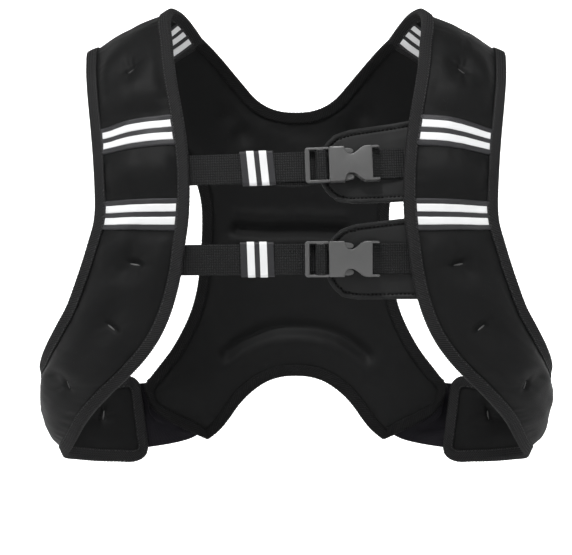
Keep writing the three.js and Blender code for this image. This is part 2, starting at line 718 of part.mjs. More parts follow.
// One coordinate of a place inside the grid, from its neighbours on a grid that doesn't fold
function settled(grid, i, j, key) {
  const ahead = grid[i + 1][j];
  const behind = grid[i - 1][j];
  const above = grid[i][j - 1];
  const below = grid[i][j + 1];
  const wide = (below.x - above.x) ** 2 + (below.z - above.z) ** 2;
  const tall = (ahead.x - behind.x) ** 2 + (ahead.z - behind.z) ** 2;
  const turn = (ahead.x - behind.x) * (below.x - above.x) + (ahead.z - behind.z) * (below.z - above.z);
  const diagonal = grid[i + 1][j + 1][key] - grid[i + 1][j - 1][key]
    - grid[i - 1][j + 1][key] + grid[i - 1][j - 1][key];
  const total = wide * (ahead[key] + behind[key]) + tall * (above[key] + below[key])
    - (turn * diagonal) / 2;
  return total / (2 * (wide + tall));
}

// The grid with its folds smoothed away and its border held
function untangled(grid) {
  for (let round = 0; round < SETTLE_ROUNDS; round += 1) {
    for (let i = 1; i < COLUMNS; i += 1) {
      for (let j = 1; j < SIDE_STEPS; j += 1) {
        grid[i][j] = { x: settled(grid, i, j, 'x'), z: settled(grid, i, j, 'z') };
      }
    }
  }
  return grid;
}

// Inner grid that fills a ring, worked out from its four sides
function fillRing(ring) {
  const at = (i, j) => ring[ringIndex(i, j)];
  const mix = (a, b, share) => ({ x: lerp(a.x, b.x, share), z: lerp(a.z, b.z, share) });
  const grid = [];
  for (let i = 0; i <= COLUMNS; i += 1) {
    const column = [];
    const a = i / COLUMNS;
    for (let j = 0; j <= SIDE_STEPS; j += 1) {
      const b = j / SIDE_STEPS;
      const rows = mix(at(i, 0), at(i, SIDE_STEPS), b);
      const sides = mix(at(0, j), at(COLUMNS, j), a);
      const top = mix(at(0, 0), at(COLUMNS, 0), a);
      const low = mix(at(0, SIDE_STEPS), at(COLUMNS, SIDE_STEPS), a);
      const corners = mix(top, low, b);
      column.push({ x: rows.x + sides.x - corners.x, z: rows.z + sides.z - corners.z });
    }
    grid.push(column);
  }
  return untangled(grid);
}

const closedOutline = [...outline, outline[0]];
const channels = BACK_CHANNELS.map((channel) => ({
  depth: channel.depth,
  reach: channel.reach * PANEL_WIDTH,
  line: scaled(channel.points),
}));

// Both faces of the back panel at a place
function backNode(x, z, normal) {
  const mid = v3(x, backDepth(x, z), z);
  const out = normal ?? backNormal(x, z);
  let pad = crown(distanceToLine(x, z, closedOutline));
  for (const channel of channels) {
    pad *= 1 - channel.depth * dent(distanceToLine(x, z, channel.line), channel.reach);
  }
  return {
    mid,
    normal: out,
    outer: mid.clone().addScaledVector(out, FLANGE + OUTER_CROWN * pad),
    inner: mid.clone().addScaledVector(out, -FLANGE - INNER_CROWN * pad),
  };
}

// Normal that the back panel shares with the front panel along the shoulder seam
function seamNormal(p) {
  const share = (Math.abs(p.x) - seamNeck.x) / (seamArm.x - seamNeck.x);
  const normal = panelNormal(0, 2 * share - 1);
  return p.x < 0 ? v3(-normal.x, normal.y, normal.z) : normal;
}

const isSeam = (n) => {
  const half = n < halfCount ? n : RING - n;
  return half >= NECK_STEPS && half <= TOP_STEPS;
};

const ringDistances = [0, BINDING_WIDTH, BINDING_WIDTH + RING_PAD_LINE * PAD_ROUND];
const backRings = ringDistances.map((distance) => insetRing(distance).map((p, n) => (
  backNode(p.x, p.z, distance === 0 && isSeam(n) ? seamNormal(p) : undefined)
)));

function backPanel() {
  const fillDistance = ringDistances[ringDistances.length - 1];
  const places = fillRing(insetRing(fillDistance));
  const fill = places.map((column) => column.map((p) => backNode(p.x, p.z)));
  const points = [];
  const triangles = [];
  const quad = (p, q, r, s) => triangles.push([p, q, r], [p, r, s]);
  const rings = backRings.slice(0, -1).map((ring) => ring.map((node) => {
    points.push(node.outer, node.inner);
    return points.length - 2;
  }));
  const grid = fill.map((column) => column.map((node) => {
    points.push(node.outer, node.inner);
    return points.length - 2;
  }));
  const border = Array(RING);
  grid.forEach((column, i) => column.forEach((index, j) => {
    const edge = i === 0 || i === COLUMNS || j === 0 || j === SIDE_STEPS;
    if (edge) border[ringIndex(i, j)] = index;
  }));
  const loops = [...rings, border];
  for (let k = 0; k + 1 < loops.length; k += 1) {
    for (let n = 0; n < RING; n += 1) {
      const m = (n + 1) % RING;
      quad(loops[k][n], loops[k][m], loops[k + 1][m], loops[k + 1][n]);
      quad(loops[k][n] + 1, loops[k + 1][n] + 1, loops[k + 1][m] + 1, loops[k][m] + 1);
    }
  }
  for (let n = 0; n < RING; n += 1) {
    const m = (n + 1) % RING;
    quad(loops[0][n], loops[0][n] + 1, loops[0][m] + 1, loops[0][m]);
  }
  for (let i = 0; i < COLUMNS; i += 1) {
    for (let j = 0; j < SIDE_STEPS; j += 1) {
      quad(grid[i][j], grid[i + 1][j], grid[i + 1][j + 1], grid[i][j + 1]);
      quad(grid[i][j] + 1, grid[i][j + 1] + 1, grid[i + 1][j + 1] + 1, grid[i + 1][j] + 1);
    }
  }
  return closedBody(points, orientedLike(points, triangles));
}

// Stop at a corner of the shoulder seam, with its legs along the seam
function seamStop(place) {
  const at = (n) => (n + RING) % RING;
  const corner = backRings[0][at(place)];
  const next = backRings[0][isSeam(at(place + 1)) ? at(place + 1) : at(place - 1)];
  const share = BINDING_WIDTH / corner.mid.distanceTo(next.mid);
  const foot = {
    mid: corner.mid.clone().lerp(next.mid, share),
    normal: corner.normal.clone().lerp(next.normal, share).normalize(),
  };
  return edgeStop(corner, foot);
}

// Stop just before that corner, with its legs to the corner of the inner ring
function nearSeamStop(place, before) {
  const at = (n) => (n + RING) % RING;
  const corner = backRings[0][at(place)];
  const back = backRings[0][at(before)];
  const edge = {
    mid: corner.mid.clone().lerp(back.mid, SEAM_SPREAD),
    normal: corner.normal.clone().lerp(back.normal, SEAM_SPREAD).normalize(),
  };
  return edgeStop(edge, backRings[1][at(place)]);
}

// Binding along a run of the back panel's outline, between two places on its ring
function backBinding(from, to) {
  const stops = [];
  for (let n = from; n <= to; n += 1) {
    const at = (n + RING) % RING;
    stops.push(edgeStop(backRings[0][at], backRings[1][at]));
  }
  stops.splice(0, 1, seamStop(from), nearSeamStop(from, from + 1));
  stops.splice(-1, 1, nearSeamStop(to, to - 1), seamStop(to));
  return bindingBody(stops);
}

const group = new THREE.Group();

function addMesh(parent, name, geometry, material) {
  const mesh = new THREE.Mesh(geometry, material);
  mesh.name = name;
  parent.add(mesh);
  return mesh;
}

// Adds a body on the wearer's left and its mirror image on the right
function addPair(name, geometry, material) {
  addMesh(group, `${name}_left`, geometry, material);
  addMesh(group, `${name}_right`, mirrored(geometry), material);
}

addMesh(group, 'back_panel', backPanel(), COLOURS.neoprene);
addMesh(group, 'neck_binding', backBinding(-NECK_STEPS, NECK_STEPS), COLOURS.binding);
addMesh(group, 'back_hem_binding', backBinding(TOP_STEPS, RING - TOP_STEPS), COLOURS.binding);
addPair('front_panel', frontPanel(), COLOURS.neoprene);
addPair('front_binding', frontPanelBinding(), COLOURS.binding);

for (const band of FRONT_BANDS) {
  const middle = band.along * PANEL_LENGTH;
  const rows = rowsOfBand(middle, BAND_WIDTH);
  addPair(`${band.name}_band`, bandBody(rows, 'outer'), COLOURS.band);
  const places = [-0.5, 0.5].map((share) => middle + share * STRIPE_PITCH);
  places.forEach((place, n) => {
    addPair(`${band.name}_stripe_${n + 1}`, stripeBody(place, rows, 'outer'), COLOURS.stripe);
  });
}

addPair('shoulder_band', bandBody(shoulderRows, 'inner'), COLOURS.band);
[-1, 0, 1].forEach((share, n) => {
  const place = shoulderMiddle + share * STRIPE_PITCH;
  addPair(`shoulder_stripe_${n + 1}`, stripeBody(place, shoulderRows, 'inner'), COLOURS.stripe);
});

// Elastic between a flank and a wing, sewn over both bindings on their outer side
function sideElastic() {
  const last = panelGrid.length - 1;
  const foot = ROWS.indexOf(footRow);
  const lift = BINDING_HALF + ELASTIC_GAP;
  const middle = LAST_COLUMN / 2;
  const reach = panelGrid[last][middle].mid.clone().sub(panelGrid[foot][middle].mid);
  reach.multiplyScalar((BINDING_WIDTH + 2 * BINDING_NOSE) / BINDING_WIDTH);
  const rows = ELASTIC_ROWS.map((row) => {
    const at = row.along * LAST_COLUMN;
    const j = Math.min(Math.floor(at), LAST_COLUMN - 1);
    const between = (i) => ({
      mid: panelGrid[i][j].mid.clone().lerp(panelGrid[i][j + 1].mid, at - j),
      normal: panelGrid[i][j].normal.clone().lerp(panelGrid[i][j + 1].normal, at - j).normalize(),
    });
    const sewn = between(foot);
    const edge = { mid: sewn.mid.clone().add(reach), normal: between(last).normal };
    const wing = (x, z) => backNode(x * HALF_WIDTH, z * HEIGHT);
    return [sewn, edge, wing(row.edgeX, row.edgeZ), wing(row.footX, row.footZ)];
  });
  const face = (height) => rows.map((row) => row.map(({ mid, normal }) => (
    mid.clone().addScaledVector(normal, height)
  )));
  return sheetBody(face(lift + ELASTIC_THICKNESS), face(lift));
}

addPair('side_elastic', sideElastic(), COLOURS.elastic);

// Edge of the left front panel at a height on the chest, with its direction and its backward slope
function chestEdge(z) {
  const first = ROWS.indexOf(bandRows[0]) - 2;
  let i = first;
  while (panelGrid[i + 1][0].mid.z > z) i += 1;
  const [a, b] = [panelGrid[i][0].mid, panelGrid[i + 1][0].mid];
  const share = (z - a.z) / (b.z - a.z);
  const inward = panelGrid[i][1].mid.clone().sub(a);
  return {
    point: a.clone().lerp(b, share),
    up: a.clone().sub(b).normalize(),
    slope: inward.y / inward.x,
  };
}

const flipX = (v) => v3(-v.x, v.y, v.z);

// Prism of an outline in the plane of x and f, with its width along y. f points to the front.
function ribbon(path, thickness, width) {
  const points = path.map(([x, f]) => new THREE.Vector2(x, f));
  const sides = points.map((p, n) => {
    const before = points[Math.max(n - 1, 0)];
    const after = points[Math.min(n + 1, points.length - 1)];
    const a = n > 0 ? p.clone().sub(before).normalize() : after.clone().sub(p).normalize();
    const b = n < points.length - 1 ? after.clone().sub(p).normalize() : a;
    const mean = a.clone().add(b).normalize();
    const reach = new THREE.Vector2(-mean.y, mean.x).multiplyScalar(thickness / 2 / mean.dot(a));
    return { one: p.clone().add(reach), other: p.clone().sub(reach) };
  });
  const ones = sides.map((side) => side.one);
  const others = sides.map((side) => side.other);
  const shape = new THREE.Shape([...ones, ...others.reverse()]);
  const geometry = new THREE.ExtrudeGeometry(shape, { depth: width, bevelEnabled: false });
  geometry.rotateX(Math.PI / 2);
  geometry.translate(0, width / 2, 0);
  return geometry;
}

// Block between two corners
function block(x0, x1, y0, y1, f0, f1) {
  const geometry = new THREE.BoxGeometry(x1 - x0, y1 - y0, f1 - f0);
  geometry.translate((x0 + x1) / 2, (y0 + y1) / 2, (f0 + f1) / 2);
  return geometry;
}

// Plate of a shape, between two levels
function plate(shape, f0, f1) {
  const options = { depth: f1 - f0, bevelEnabled: false, curveSegments: CURVE_STEPS };
  const geometry = new THREE.ExtrudeGeometry(shape, options);
  geometry.translate(0, 0, f0);
  return geometry;
}

function solid(geometry) {
  const bare = geometry.clone();
  bare.deleteAttribute('normal');
  bare.deleteAttribute('uv');
  const merged = mergeVertices(bare, MERGE_DISTANCE);
  return new wasm.Manifold(new wasm.Mesh({
    numProp: 3,
    vertProperties: new Float32Array(merged.attributes.position.array),
    triVerts: new Uint32Array(merged.index.array),
  }));
}

function bodyOf(manifold) {
  const mesh = manifold.getMesh();
  const geometry = new THREE.BufferGeometry();
  geometry.setAttribute('position', new THREE.BufferAttribute(mesh.vertProperties.slice(), 3));
  geometry.setIndex(Array.from(mesh.triVerts));
  geometry.computeVertexNormals();
  return geometry;
}

// Levels of the pieces of a chest strap, measured forwards from the middle of its webbing
const HALF_WEB = WEBBING_THICKNESS / 2;
const SECOND_LAYER = WEBBING_THICKNESS + CLEARANCE;
const FRAME_BACK = HALF_WEB + CLEARANCE;
const FRAME_FRONT = FRAME_BACK + FRAME_THICKNESS;
const FRAME_MIDDLE = (FRAME_BACK + FRAME_FRONT) / 2;
const BODY_BACK = FRAME_MIDDLE - BUCKLE_THICKNESS / 2;
const BODY_FRONT = FRAME_MIDDLE + BUCKLE_THICKNESS / 2;
const SLOT_HALF = WEBBING_WIDTH / 2 + CLEARANCE;
const BUCKLE_HALF = BUCKLE_WIDTH / 2;

// Places along the buckle, from the outer edge of its adjuster
const BAR_START = BUCKLE_BAR + SLOT_LENGTH;
const BAR_END = BAR_START + ADJUSTER_BAR;
const BAR_BACK = FRAME_MIDDLE - ADJUSTER_BAR / 4;
const BAR_FRONT = FRAME_MIDDLE + ADJUSTER_BAR / 4;
const BASE_START = BAR_END + 2 * (WEBBING_THICKNESS + CLEARANCE);
const MOUTH = BASE_START + BUCKLE_BAR / 2;
const BODY_END = MOUTH + BODY_LENGTH;
const CAVITY_END = MOUTH + CAVITY_LENGTH;
const END_BAR_START = BODY_END - END_BAR_PLACE;
const END_BAR_END = END_BAR_START + END_BAR;
const POCKET_START = END_BAR_START - 2 * (WEBBING_THICKNESS + CLEARANCE);
const BAY_START = MOUTH + BAY_PLACE;
const BAY_END = BAY_START + BAY_LENGTH;

// Half outlines are listed from the adjuster to the end, with y to one side
const mirrorOutline = (points) => [
  ...points,
  ...[...points].reverse().filter(([, y]) => y !== 0).map(([x, y]) => [x, -y]),
];

const shapeOf = (points) => new THREE.Shape(points.map(([x, y]) => new THREE.Vector2(x, y)));

// Adjuster frame with the two spring arms and the guide that go into the buckle's body
function buckleMale() {
  const arm = BUCKLE_HALF - BODY_WALL - CLEARANCE;
  const inner = arm - ARM_WIDTH;
  const tabEnd = BAY_START + CLEARANCE + TAB_LENGTH;
  const guide = ARM_WIDTH / 2;
  const shape = shapeOf(mirrorOutline([
    [0, BUCKLE_HALF],
    [MOUTH - CLEARANCE, BUCKLE_HALF],
    [MOUTH - CLEARANCE, arm],
    [BAY_START + CLEARANCE, arm],
    [BAY_START + 2 * CLEARANCE, BUCKLE_HALF - CLEARANCE],
    [tabEnd - TAB_LENGTH / 3, BUCKLE_HALF - CLEARANCE],
    [tabEnd, inner + ARM_WIDTH / 3],
    [tabEnd - TAB_LENGTH / 3, inner],
    [MOUTH + ARM_WIDTH, inner],
    [MOUTH + ARM_WIDTH, guide],
    [BAY_START, guide],
  ]));
  const under = FRAME_BACK - CUT_MARGIN;
  const over = FRAME_FRONT + CUT_MARGIN;
  const slot = (x0, x1, f0, f1) => solid(block(x0, x1, -SLOT_HALF, SLOT_HALF, f0, f1));
  const cuts = [
    slot(BUCKLE_BAR, BAR_START, under, over),
    slot(BAR_END, BASE_START, under, over),
    slot(BUCKLE_BAR, BASE_START, BAR_FRONT, over),
    slot(BUCKLE_BAR, BASE_START, under, BAR_BACK),
  ];
  const whole = solid(plate(shape, FRAME_BACK, FRAME_FRONT));
  return bodyOf(cuts.reduce((body, cut) => body.subtract(cut), whole));
}

// Body with a mouth for the arms, a release bay on each side and a bar for the short webbing
function buckleBody() {
  const shape = new THREE.Shape();
  const deep = BUCKLE_HALF - BAY_DEPTH;
  const ramp = BAY_START + BAY_FLOOR;
  const ease = BAY_END - BAY_EASE;
  shape.moveTo(MOUTH, -BUCKLE_HALF);
  shape.lineTo(BAY_START, -BUCKLE_HALF);
  shape.lineTo(BAY_START, -deep);
  shape.lineTo(ramp, -deep);
  shape.quadraticCurveTo(ease, -BUCKLE_HALF, BAY_END, -BUCKLE_HALF);
  shape.lineTo(BODY_END, -BUCKLE_HALF);
  shape.lineTo(BODY_END, BUCKLE_HALF);
  shape.lineTo(BAY_END, BUCKLE_HALF);
  shape.quadraticCurveTo(ease, BUCKLE_HALF, ramp, deep);
  shape.lineTo(BAY_START, deep);
  shape.lineTo(BAY_START, BUCKLE_HALF);
  shape.lineTo(MOUTH, BUCKLE_HALF);
  const wall = BUCKLE_HALF - BODY_WALL;
  const past = BODY_END + CUT_MARGIN;
  const horns = BODY_END - HORN_LENGTH;
  const under = BODY_BACK - CUT_MARGIN;
  const over = BODY_FRONT + CUT_MARGIN;
  const mouth = [FRAME_BACK - CLEARANCE, FRAME_FRONT + CLEARANCE];
  const cuts = [
    block(MOUTH - CUT_MARGIN, CAVITY_END, -wall, wall, ...mouth),
    block(POCKET_START, past, -SLOT_HALF, SLOT_HALF, under, BODY_FRONT - BODY_WALL),
    block(horns, past, -SLOT_HALF, SLOT_HALF, under, over),
  ];
  const barLevels = [HALF_WEB - 2 * CLEARANCE, BAR_BACK + CLEARANCE];
  const bar = block(END_BAR_START, END_BAR_END, -wall, wall, ...barLevels);
  const whole = solid(plate(shape, BODY_BACK, BODY_FRONT));
  const hollow = cuts.reduce((body, cut) => body.subtract(solid(cut)), whole);
  return bodyOf(hollow.add(solid(bar)));
}

// Long webbing: from the right front panel, up over the adjuster's bar and back behind itself
function longWebbing(half) {
  const start = BUCKLE_PLACE;
  const over = BAR_FRONT + CLEARANCE + HALF_WEB;
  const down = start + BAR_END + CLEARANCE + WEBBING_THICKNESS;
  return ribbon([
    [-half - SEWN_OVERLAP, 0],
    [start + BUCKLE_BAR + HALF_WEB, 0],
    [start + BAR_START - HALF_WEB, over],
    [down - WEBBING_THICKNESS, over],
    [down, over - WEBBING_THICKNESS],
    [down, WEBBING_THICKNESS - SECOND_LAYER],
    [down - WEBBING_THICKNESS, -SECOND_LAYER],
    [start - TAIL_LENGTH, -SECOND_LAYER],
  ], WEBBING_THICKNESS, WEBBING_WIDTH);
}

// Short webbing: from the left front panel round the bar of the buckle's body and back
function shortWebbing(half) {
  const over = BAR_BACK + 2 * CLEARANCE + HALF_WEB;
  const turn = BUCKLE_PLACE + END_BAR_START - CLEARANCE - WEBBING_THICKNESS;
  const end = BUCKLE_PLACE + BODY_END;
  return ribbon([
    [half + SEWN_OVERLAP, 0],
    [end + WEBBING_THICKNESS, 0],
    [BUCKLE_PLACE + END_BAR_END + WEBBING_THICKNESS, over],
    [turn + WEBBING_THICKNESS, over],
    [turn, over - WEBBING_THICKNESS],
    [turn, WEBBING_THICKNESS - SECOND_LAYER],
    [turn + WEBBING_THICKNESS, -SECOND_LAYER],
    [half - 3 * SEWN_OVERLAP, -SECOND_LAYER],
  ], WEBBING_THICKNESS, WEBBING_WIDTH);
}

const KEEPER_FRONT = HALF_WEB + CLEARANCE + KEEPER_THICKNESS;

// Loop round both layers of the long webbing
function keeper() {
  const half = SLOT_HALF + KEEPER_THICKNESS;
  const back = -SECOND_LAYER - KEEPER_FRONT;
  const x0 = KEEPER_PLACE - KEEPER_LENGTH / 2;
  const x1 = KEEPER_PLACE + KEEPER_LENGTH / 2;
  const levels = [back + KEEPER_THICKNESS, KEEPER_FRONT - KEEPER_THICKNESS];
  const hole = block(x0 - CUT_MARGIN, x1 + CUT_MARGIN, -SLOT_HALF, SLOT_HALF, ...levels);
  return bodyOf(solid(block(x0, x1, -half, half, back, KEEPER_FRONT)).subtract(solid(hole)));
}

function keeperStripe(share) {
  const half = SLOT_HALF + KEEPER_THICKNESS;
  const middle = KEEPER_PLACE + share * STRIPE_PITCH;
  const [x0, x1] = [middle - STRIPE_WIDTH / 2, middle + STRIPE_WIDTH / 2];
  const front = KEEPER_FRONT + CLEARANCE;
  return block(x0, x1, -half, half, front, front + STRIPE_THICKNESS);
}

// Padded flap behind the buckle, sewn behind the panel's edge. edgeX gives that edge at a height
// above the strap.
function buckleFlap(edgeX, rise) {
  const behindWebbing = -SECOND_LAYER - HALF_WEB - CLEARANCE;
  const behindBinding = -HALF_WEB - CLEARANCE;
  const node = (i, j, side) => {
    const y = (Math.cos((Math.PI * i) / FLAP_ROWS) * FLAP_HEIGHT) / 2;
    const inCorner = Math.max(0, Math.abs(y) - FLAP_HEIGHT / 2 + FLAP_CORNER);
    const corner = FLAP_CORNER - Math.sqrt(FLAP_CORNER ** 2 - inCorner ** 2);
    const right = edgeX(y + rise) + SEWN_OVERLAP;
    const left = edgeX(rise) - FLAP_LENGTH + corner;
    const x = lerp(left, right, j / FLAP_COLUMNS);
    const sewn = clamp((x - right + 3 * SEWN_OVERLAP) / (2 * SEWN_OVERLAP), 0, 1);
    const front = lerp(behindWebbing, behindBinding, sewn);
    const rim = clamp(Math.min(FLAP_HEIGHT / 2 - Math.abs(y), x - left) / BINDING_WIDTH, 0, 1);
    const thickness = FLAP_THICKNESS * lerp(FLAP_RIM_SHARE, 1, rim);
    return v3(x, y + rise, side > 0 ? front : front - thickness);
  };
  const grid = (side) => Array.from({ length: FLAP_ROWS + 1 }, (_, i) => (
    Array.from({ length: FLAP_COLUMNS + 1 }, (__, j) => node(i, j, side))
  ));
  return sheetBody(grid(1), grid(-1));
}

for (const strap of CHEST_STRAPS) {
  const left = chestEdge(strap.left * HEIGHT);
  const right = chestEdge(strap.right * HEIGHT);
  const start = flipX(right.point);
  const along = left.point.clone().sub(start).normalize();
  const up = left.up.clone().add(flipX(right.up));
  up.addScaledVector(along, -up.dot(along)).normalize();
  const front = along.clone().cross(up);
  const slope = Math.max(left.slope, right.slope);
  const behind = BINDING_HALF + 2 * CLEARANCE + HALF_WEB + slope * SEWN_OVERLAP;
  const frame = new THREE.Group();
  const middle = left.point.clone().add(start).multiplyScalar(0.5).addScaledVector(front, -behind);
  frame.quaternion.setFromRotationMatrix(new THREE.Matrix4().makeBasis(along, up, front));
  frame.position.copy(middle);
  group.add(frame);
  const half = left.point.distanceTo(start) / 2;
  const edgeX = (y) => {
    const z = middle.z + up.z * y;
    return chestEdge(z).point.sub(middle).dot(along);
  };
  addMesh(frame, `${strap.name}_webbing_long`, longWebbing(half), COLOURS.webbing);
  addMesh(frame, `${strap.name}_webbing_short`, shortWebbing(half), COLOURS.webbing);
  addMesh(frame, `${strap.name}_keeper`, keeper(), COLOURS.band);
  addMesh(frame, `${strap.name}_keeper_stripe_1`, keeperStripe(-0.5), COLOURS.stripe);
  addMesh(frame, `${strap.name}_keeper_stripe_2`, keeperStripe(0.5), COLOURS.stripe);
  const place = (geometry) => geometry.translate(BUCKLE_PLACE, 0, 0);
  addMesh(frame, `${strap.name}_buckle_male`, place(buckleMale()), COLOURS.plastic);
  addMesh(frame, `${strap.name}_buckle_body`, place(buckleBody()), COLOURS.plastic);
  addMesh(frame, `${strap.name}_buckle_flap`, buckleFlap(edgeX, strap.flapRise * HEIGHT), COLOURS.neoprene);
}

export default group;
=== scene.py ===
"""Weighted vest in neoprene: the finish of every surface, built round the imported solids.

The padded panels, bindings, bands, flaps and elastics are read from the frame's own solids, drawn
again as fine meshes and given their relief. The straps' webbing, keepers and buckles are modelled
in each strap's own frame, which is read from its webbing. Lengths are metres unless a name says mm.
"""

import json
import logging
import math
from dataclasses import dataclass, field
from enum import Enum
from typing import Callable, Sequence

import bmesh
import bpy
import numpy as np
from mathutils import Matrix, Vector
from mathutils.bvhtree import BVHTree

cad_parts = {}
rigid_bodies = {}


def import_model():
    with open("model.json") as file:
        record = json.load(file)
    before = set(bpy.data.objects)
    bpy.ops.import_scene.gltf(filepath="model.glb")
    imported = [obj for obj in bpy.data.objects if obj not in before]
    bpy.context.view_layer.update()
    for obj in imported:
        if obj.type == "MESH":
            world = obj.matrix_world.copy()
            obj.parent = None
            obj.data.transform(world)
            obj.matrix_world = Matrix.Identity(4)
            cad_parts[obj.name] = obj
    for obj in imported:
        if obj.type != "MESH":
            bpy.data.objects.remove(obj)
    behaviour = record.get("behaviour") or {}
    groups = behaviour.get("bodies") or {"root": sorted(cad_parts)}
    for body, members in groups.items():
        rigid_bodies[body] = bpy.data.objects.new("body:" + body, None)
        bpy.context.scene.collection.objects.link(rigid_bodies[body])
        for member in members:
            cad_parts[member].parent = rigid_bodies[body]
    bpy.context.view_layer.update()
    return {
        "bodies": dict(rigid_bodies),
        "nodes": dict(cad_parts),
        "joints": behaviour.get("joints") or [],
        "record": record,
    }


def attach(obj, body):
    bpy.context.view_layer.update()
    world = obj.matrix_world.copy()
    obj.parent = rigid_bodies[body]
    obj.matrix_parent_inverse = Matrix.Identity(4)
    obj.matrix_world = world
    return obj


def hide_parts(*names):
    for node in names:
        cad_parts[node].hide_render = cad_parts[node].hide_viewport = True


LOG = logging.getLogger("vest")
MM = 0.001
BODY = "root"
WELD = 2e-6
SHARP = math.radians(50)
Array = np.ndarray
Socket = bpy.types.NodeSocket
Sockets = bpy.types.bpy_prop_collection
Piece = bpy.types.Object
Pair = tuple[float, float]


class Side(Enum):
    """The two broad faces of a padded or flat piece."""

    OUTER = 1
    INNER = -1


class Hand(Enum):
    """The wearer's two sides, with the sign of their x."""

    LEFT = 1
    RIGHT = -1

    @property
    def word(self) -> str:
        """The side's name in a node's name."""
        return self.name.lower()


# Sizes that the pieces share, as the vest is sewn
BINDING_WIDTH = 8.5 * MM
TAPE_THICKNESS = 1.1 * MM
STRIPE_WIDTH = 6 * MM
STRIPE_PITCH = 10.2 * MM
BAND_THICKNESS = 1 * MM
STRIPE_THICKNESS = 0.45 * MM
WEBBING_THICKNESS = 1.6 * MM
PANEL_COLUMNS = 9
FLAP_COLUMNS = 11
ELASTIC_COLUMNS = 4
FINE_STEP = 0.9 * MM
TRACE_STEP = 1.5 * MM
FAR = 1e9


def unit(vectors: Array) -> Array:
    """Vectors along the last axis at length one."""
    return vectors / np.maximum(np.linalg.norm(vectors, axis=-1, keepdims=True), 1e-12)


def bell(distance: Array, reach: float) -> Array:
    """A soft bump: one at no distance, and gone past about twice its reach."""
    return np.exp(-((distance / reach) ** 2))


def ease(value: Array, low: float, high: float) -> Array:
    """Smooth step from 0 at low to 1 at high."""
    share = np.clip((value - low) / (high - low), 0, 1)
    return share * share * (3 - 2 * share)


def resample(values: Array, at: Array, to: Array) -> Array:
    """Smooth curve through rows of values.

    Args:
        values: rows of points or numbers, known at the lengths in at.
        at: rising lengths, one for each row.
        to: lengths to read.

    Returns:
        One row for each length in to.
    """
    slopes = np.gradient(values, at, axis=0)
    index = np.clip(np.searchsorted(at, to, side="right") - 1, 0, len(at) - 2)
    shape = (-1,) + (1,) * (values.ndim - 1)
    span = (at[index + 1] - at[index]).reshape(shape)
    f = ((to - at[index]).reshape(shape)) / span
    a, b = values[index], values[index + 1]
    start, end = slopes[index] * span, slopes[index + 1] * span
    return (
        a * (1 + 2 * f) * (1 - f) ** 2
        + start * f * (1 - f) ** 2
        + b * f * f * (3 - 2 * f)
        + end * f * f * (f - 1)
    )


def lengths_along(points: Array) -> Array:
    """Running length at each point of a line."""
    steps = np.linalg.norm(np.diff(points, axis=0), axis=1)
    return np.concatenate([[0.0], np.cumsum(steps)])


def even(length: float, step: float) -> Array:
    """Even places from 0 to a length, about a step apart."""
    return np.linspace(0, length, max(2, round(length / step) + 1))


def eased(line: Array, times: int) -> Array:
    """A line with its corners eased and its ends held."""
    for _ in range(times):
        line = np.concatenate([line[:1], (line[:-2] + 2 * line[1:-1] + line[2:]) / 4, line[-1:]])
    return line


def open_rim(grid: Array) -> Array:
    """A grid's edge, from its first row round its last one and back."""
    return np.concatenate([grid[:, 0], grid[-1, 1:-1], grid[::-1, -1]])


def nearest_number(points: Array, line: Array, block: int = 64) -> tuple[Array, Array]:
    """Distance from points to a line of points.

    Args:
        points: rows of points.
        line: the line's points.
        block: how many of them are taken at a time.

    Returns:
        The distance to the nearest one, and its number.
    """
    best = np.full(len(points), FAR)
    number = np.zeros(len(points), dtype=int)
    for start in range(0, len(line), block):
        gaps = np.linalg.norm(points[:, None] - line[None, start:start + block], axis=2)
        nearer = gaps.min(1) < best
        number = np.where(nearer, start + gaps.argmin(1), number)
        best = np.minimum(best, gaps.min(1))
    return best, number


def nearest_on(tree: BVHTree, points: Array) -> Array:
    """The nearest place on a search tree's faces to each point."""
    found = [tree.find_nearest(Vector(point))[0][:] for point in points.reshape(-1, 3)]
    return np.array(found).reshape(points.shape)


def points_of(data: bpy.types.Mesh) -> Array:
    """A mesh's points as rows."""
    points = np.empty(len(data.vertices) * 3)
    data.vertices.foreach_get("co", points)
    return points.reshape(-1, 3)


def move_points(data: bpy.types.Mesh, points: Array) -> None:
    """Moves a mesh's points."""
    data.vertices.foreach_set("co", points.ravel())
    data.update()


def smooth_faces(data: bpy.types.Mesh) -> None:
    """Shades all of a mesh's faces smooth."""
    data.polygons.foreach_set("use_smooth", [True] * len(data.polygons))


def link(name: str, data: bpy.types.ID) -> Piece:
    """A new object in the scene."""
    piece = bpy.data.objects.new(name, data)
    bpy.context.scene.collection.objects.link(piece)
    return piece


def select(*pieces: Piece) -> None:
    """Selects some objects alone, with the first one active."""
    bpy.ops.object.select_all(action="DESELECT")
    for piece in pieces:
        piece.select_set(True)
    bpy.context.view_layer.objects.active = pieces[0]


class Ripples:
    """A smooth random field over two lengths, the same on each run."""

    def __init__(self, seed: int, shortest: float, longest: float, waves: int = 24) -> None:
        """Chooses the waves.

        Args:
            seed: number that fixes the field.
            shortest: shortest wave, in metres.
            longest: longest wave, in metres.
            waves: how many waves are added up.
        """
        draw = np.random.default_rng(seed)
        turns = draw.uniform(0, 2 * math.pi, waves)
        number = 2 * math.pi / draw.uniform(shortest, longest, waves)
        self.kx = number * np.cos(turns)
        self.ky = number * np.sin(turns)
        self.phase = draw.uniform(0, 2 * math.pi, waves)

    def __call__(self, u: Array, v: Array) -> Array:
        """Height of the field, from about -1 to 1.

        Args:
            u: first length.
            v: second length, of the same shape.

        Returns:
            The height at each place.
        """
        total = np.zeros(np.broadcast(u, v).shape)
        for kx, ky, phase in zip(self.kx, self.ky, self.phase):
            total += np.sin(kx * u + ky * v + phase)
        return total / math.sqrt(len(self.kx))


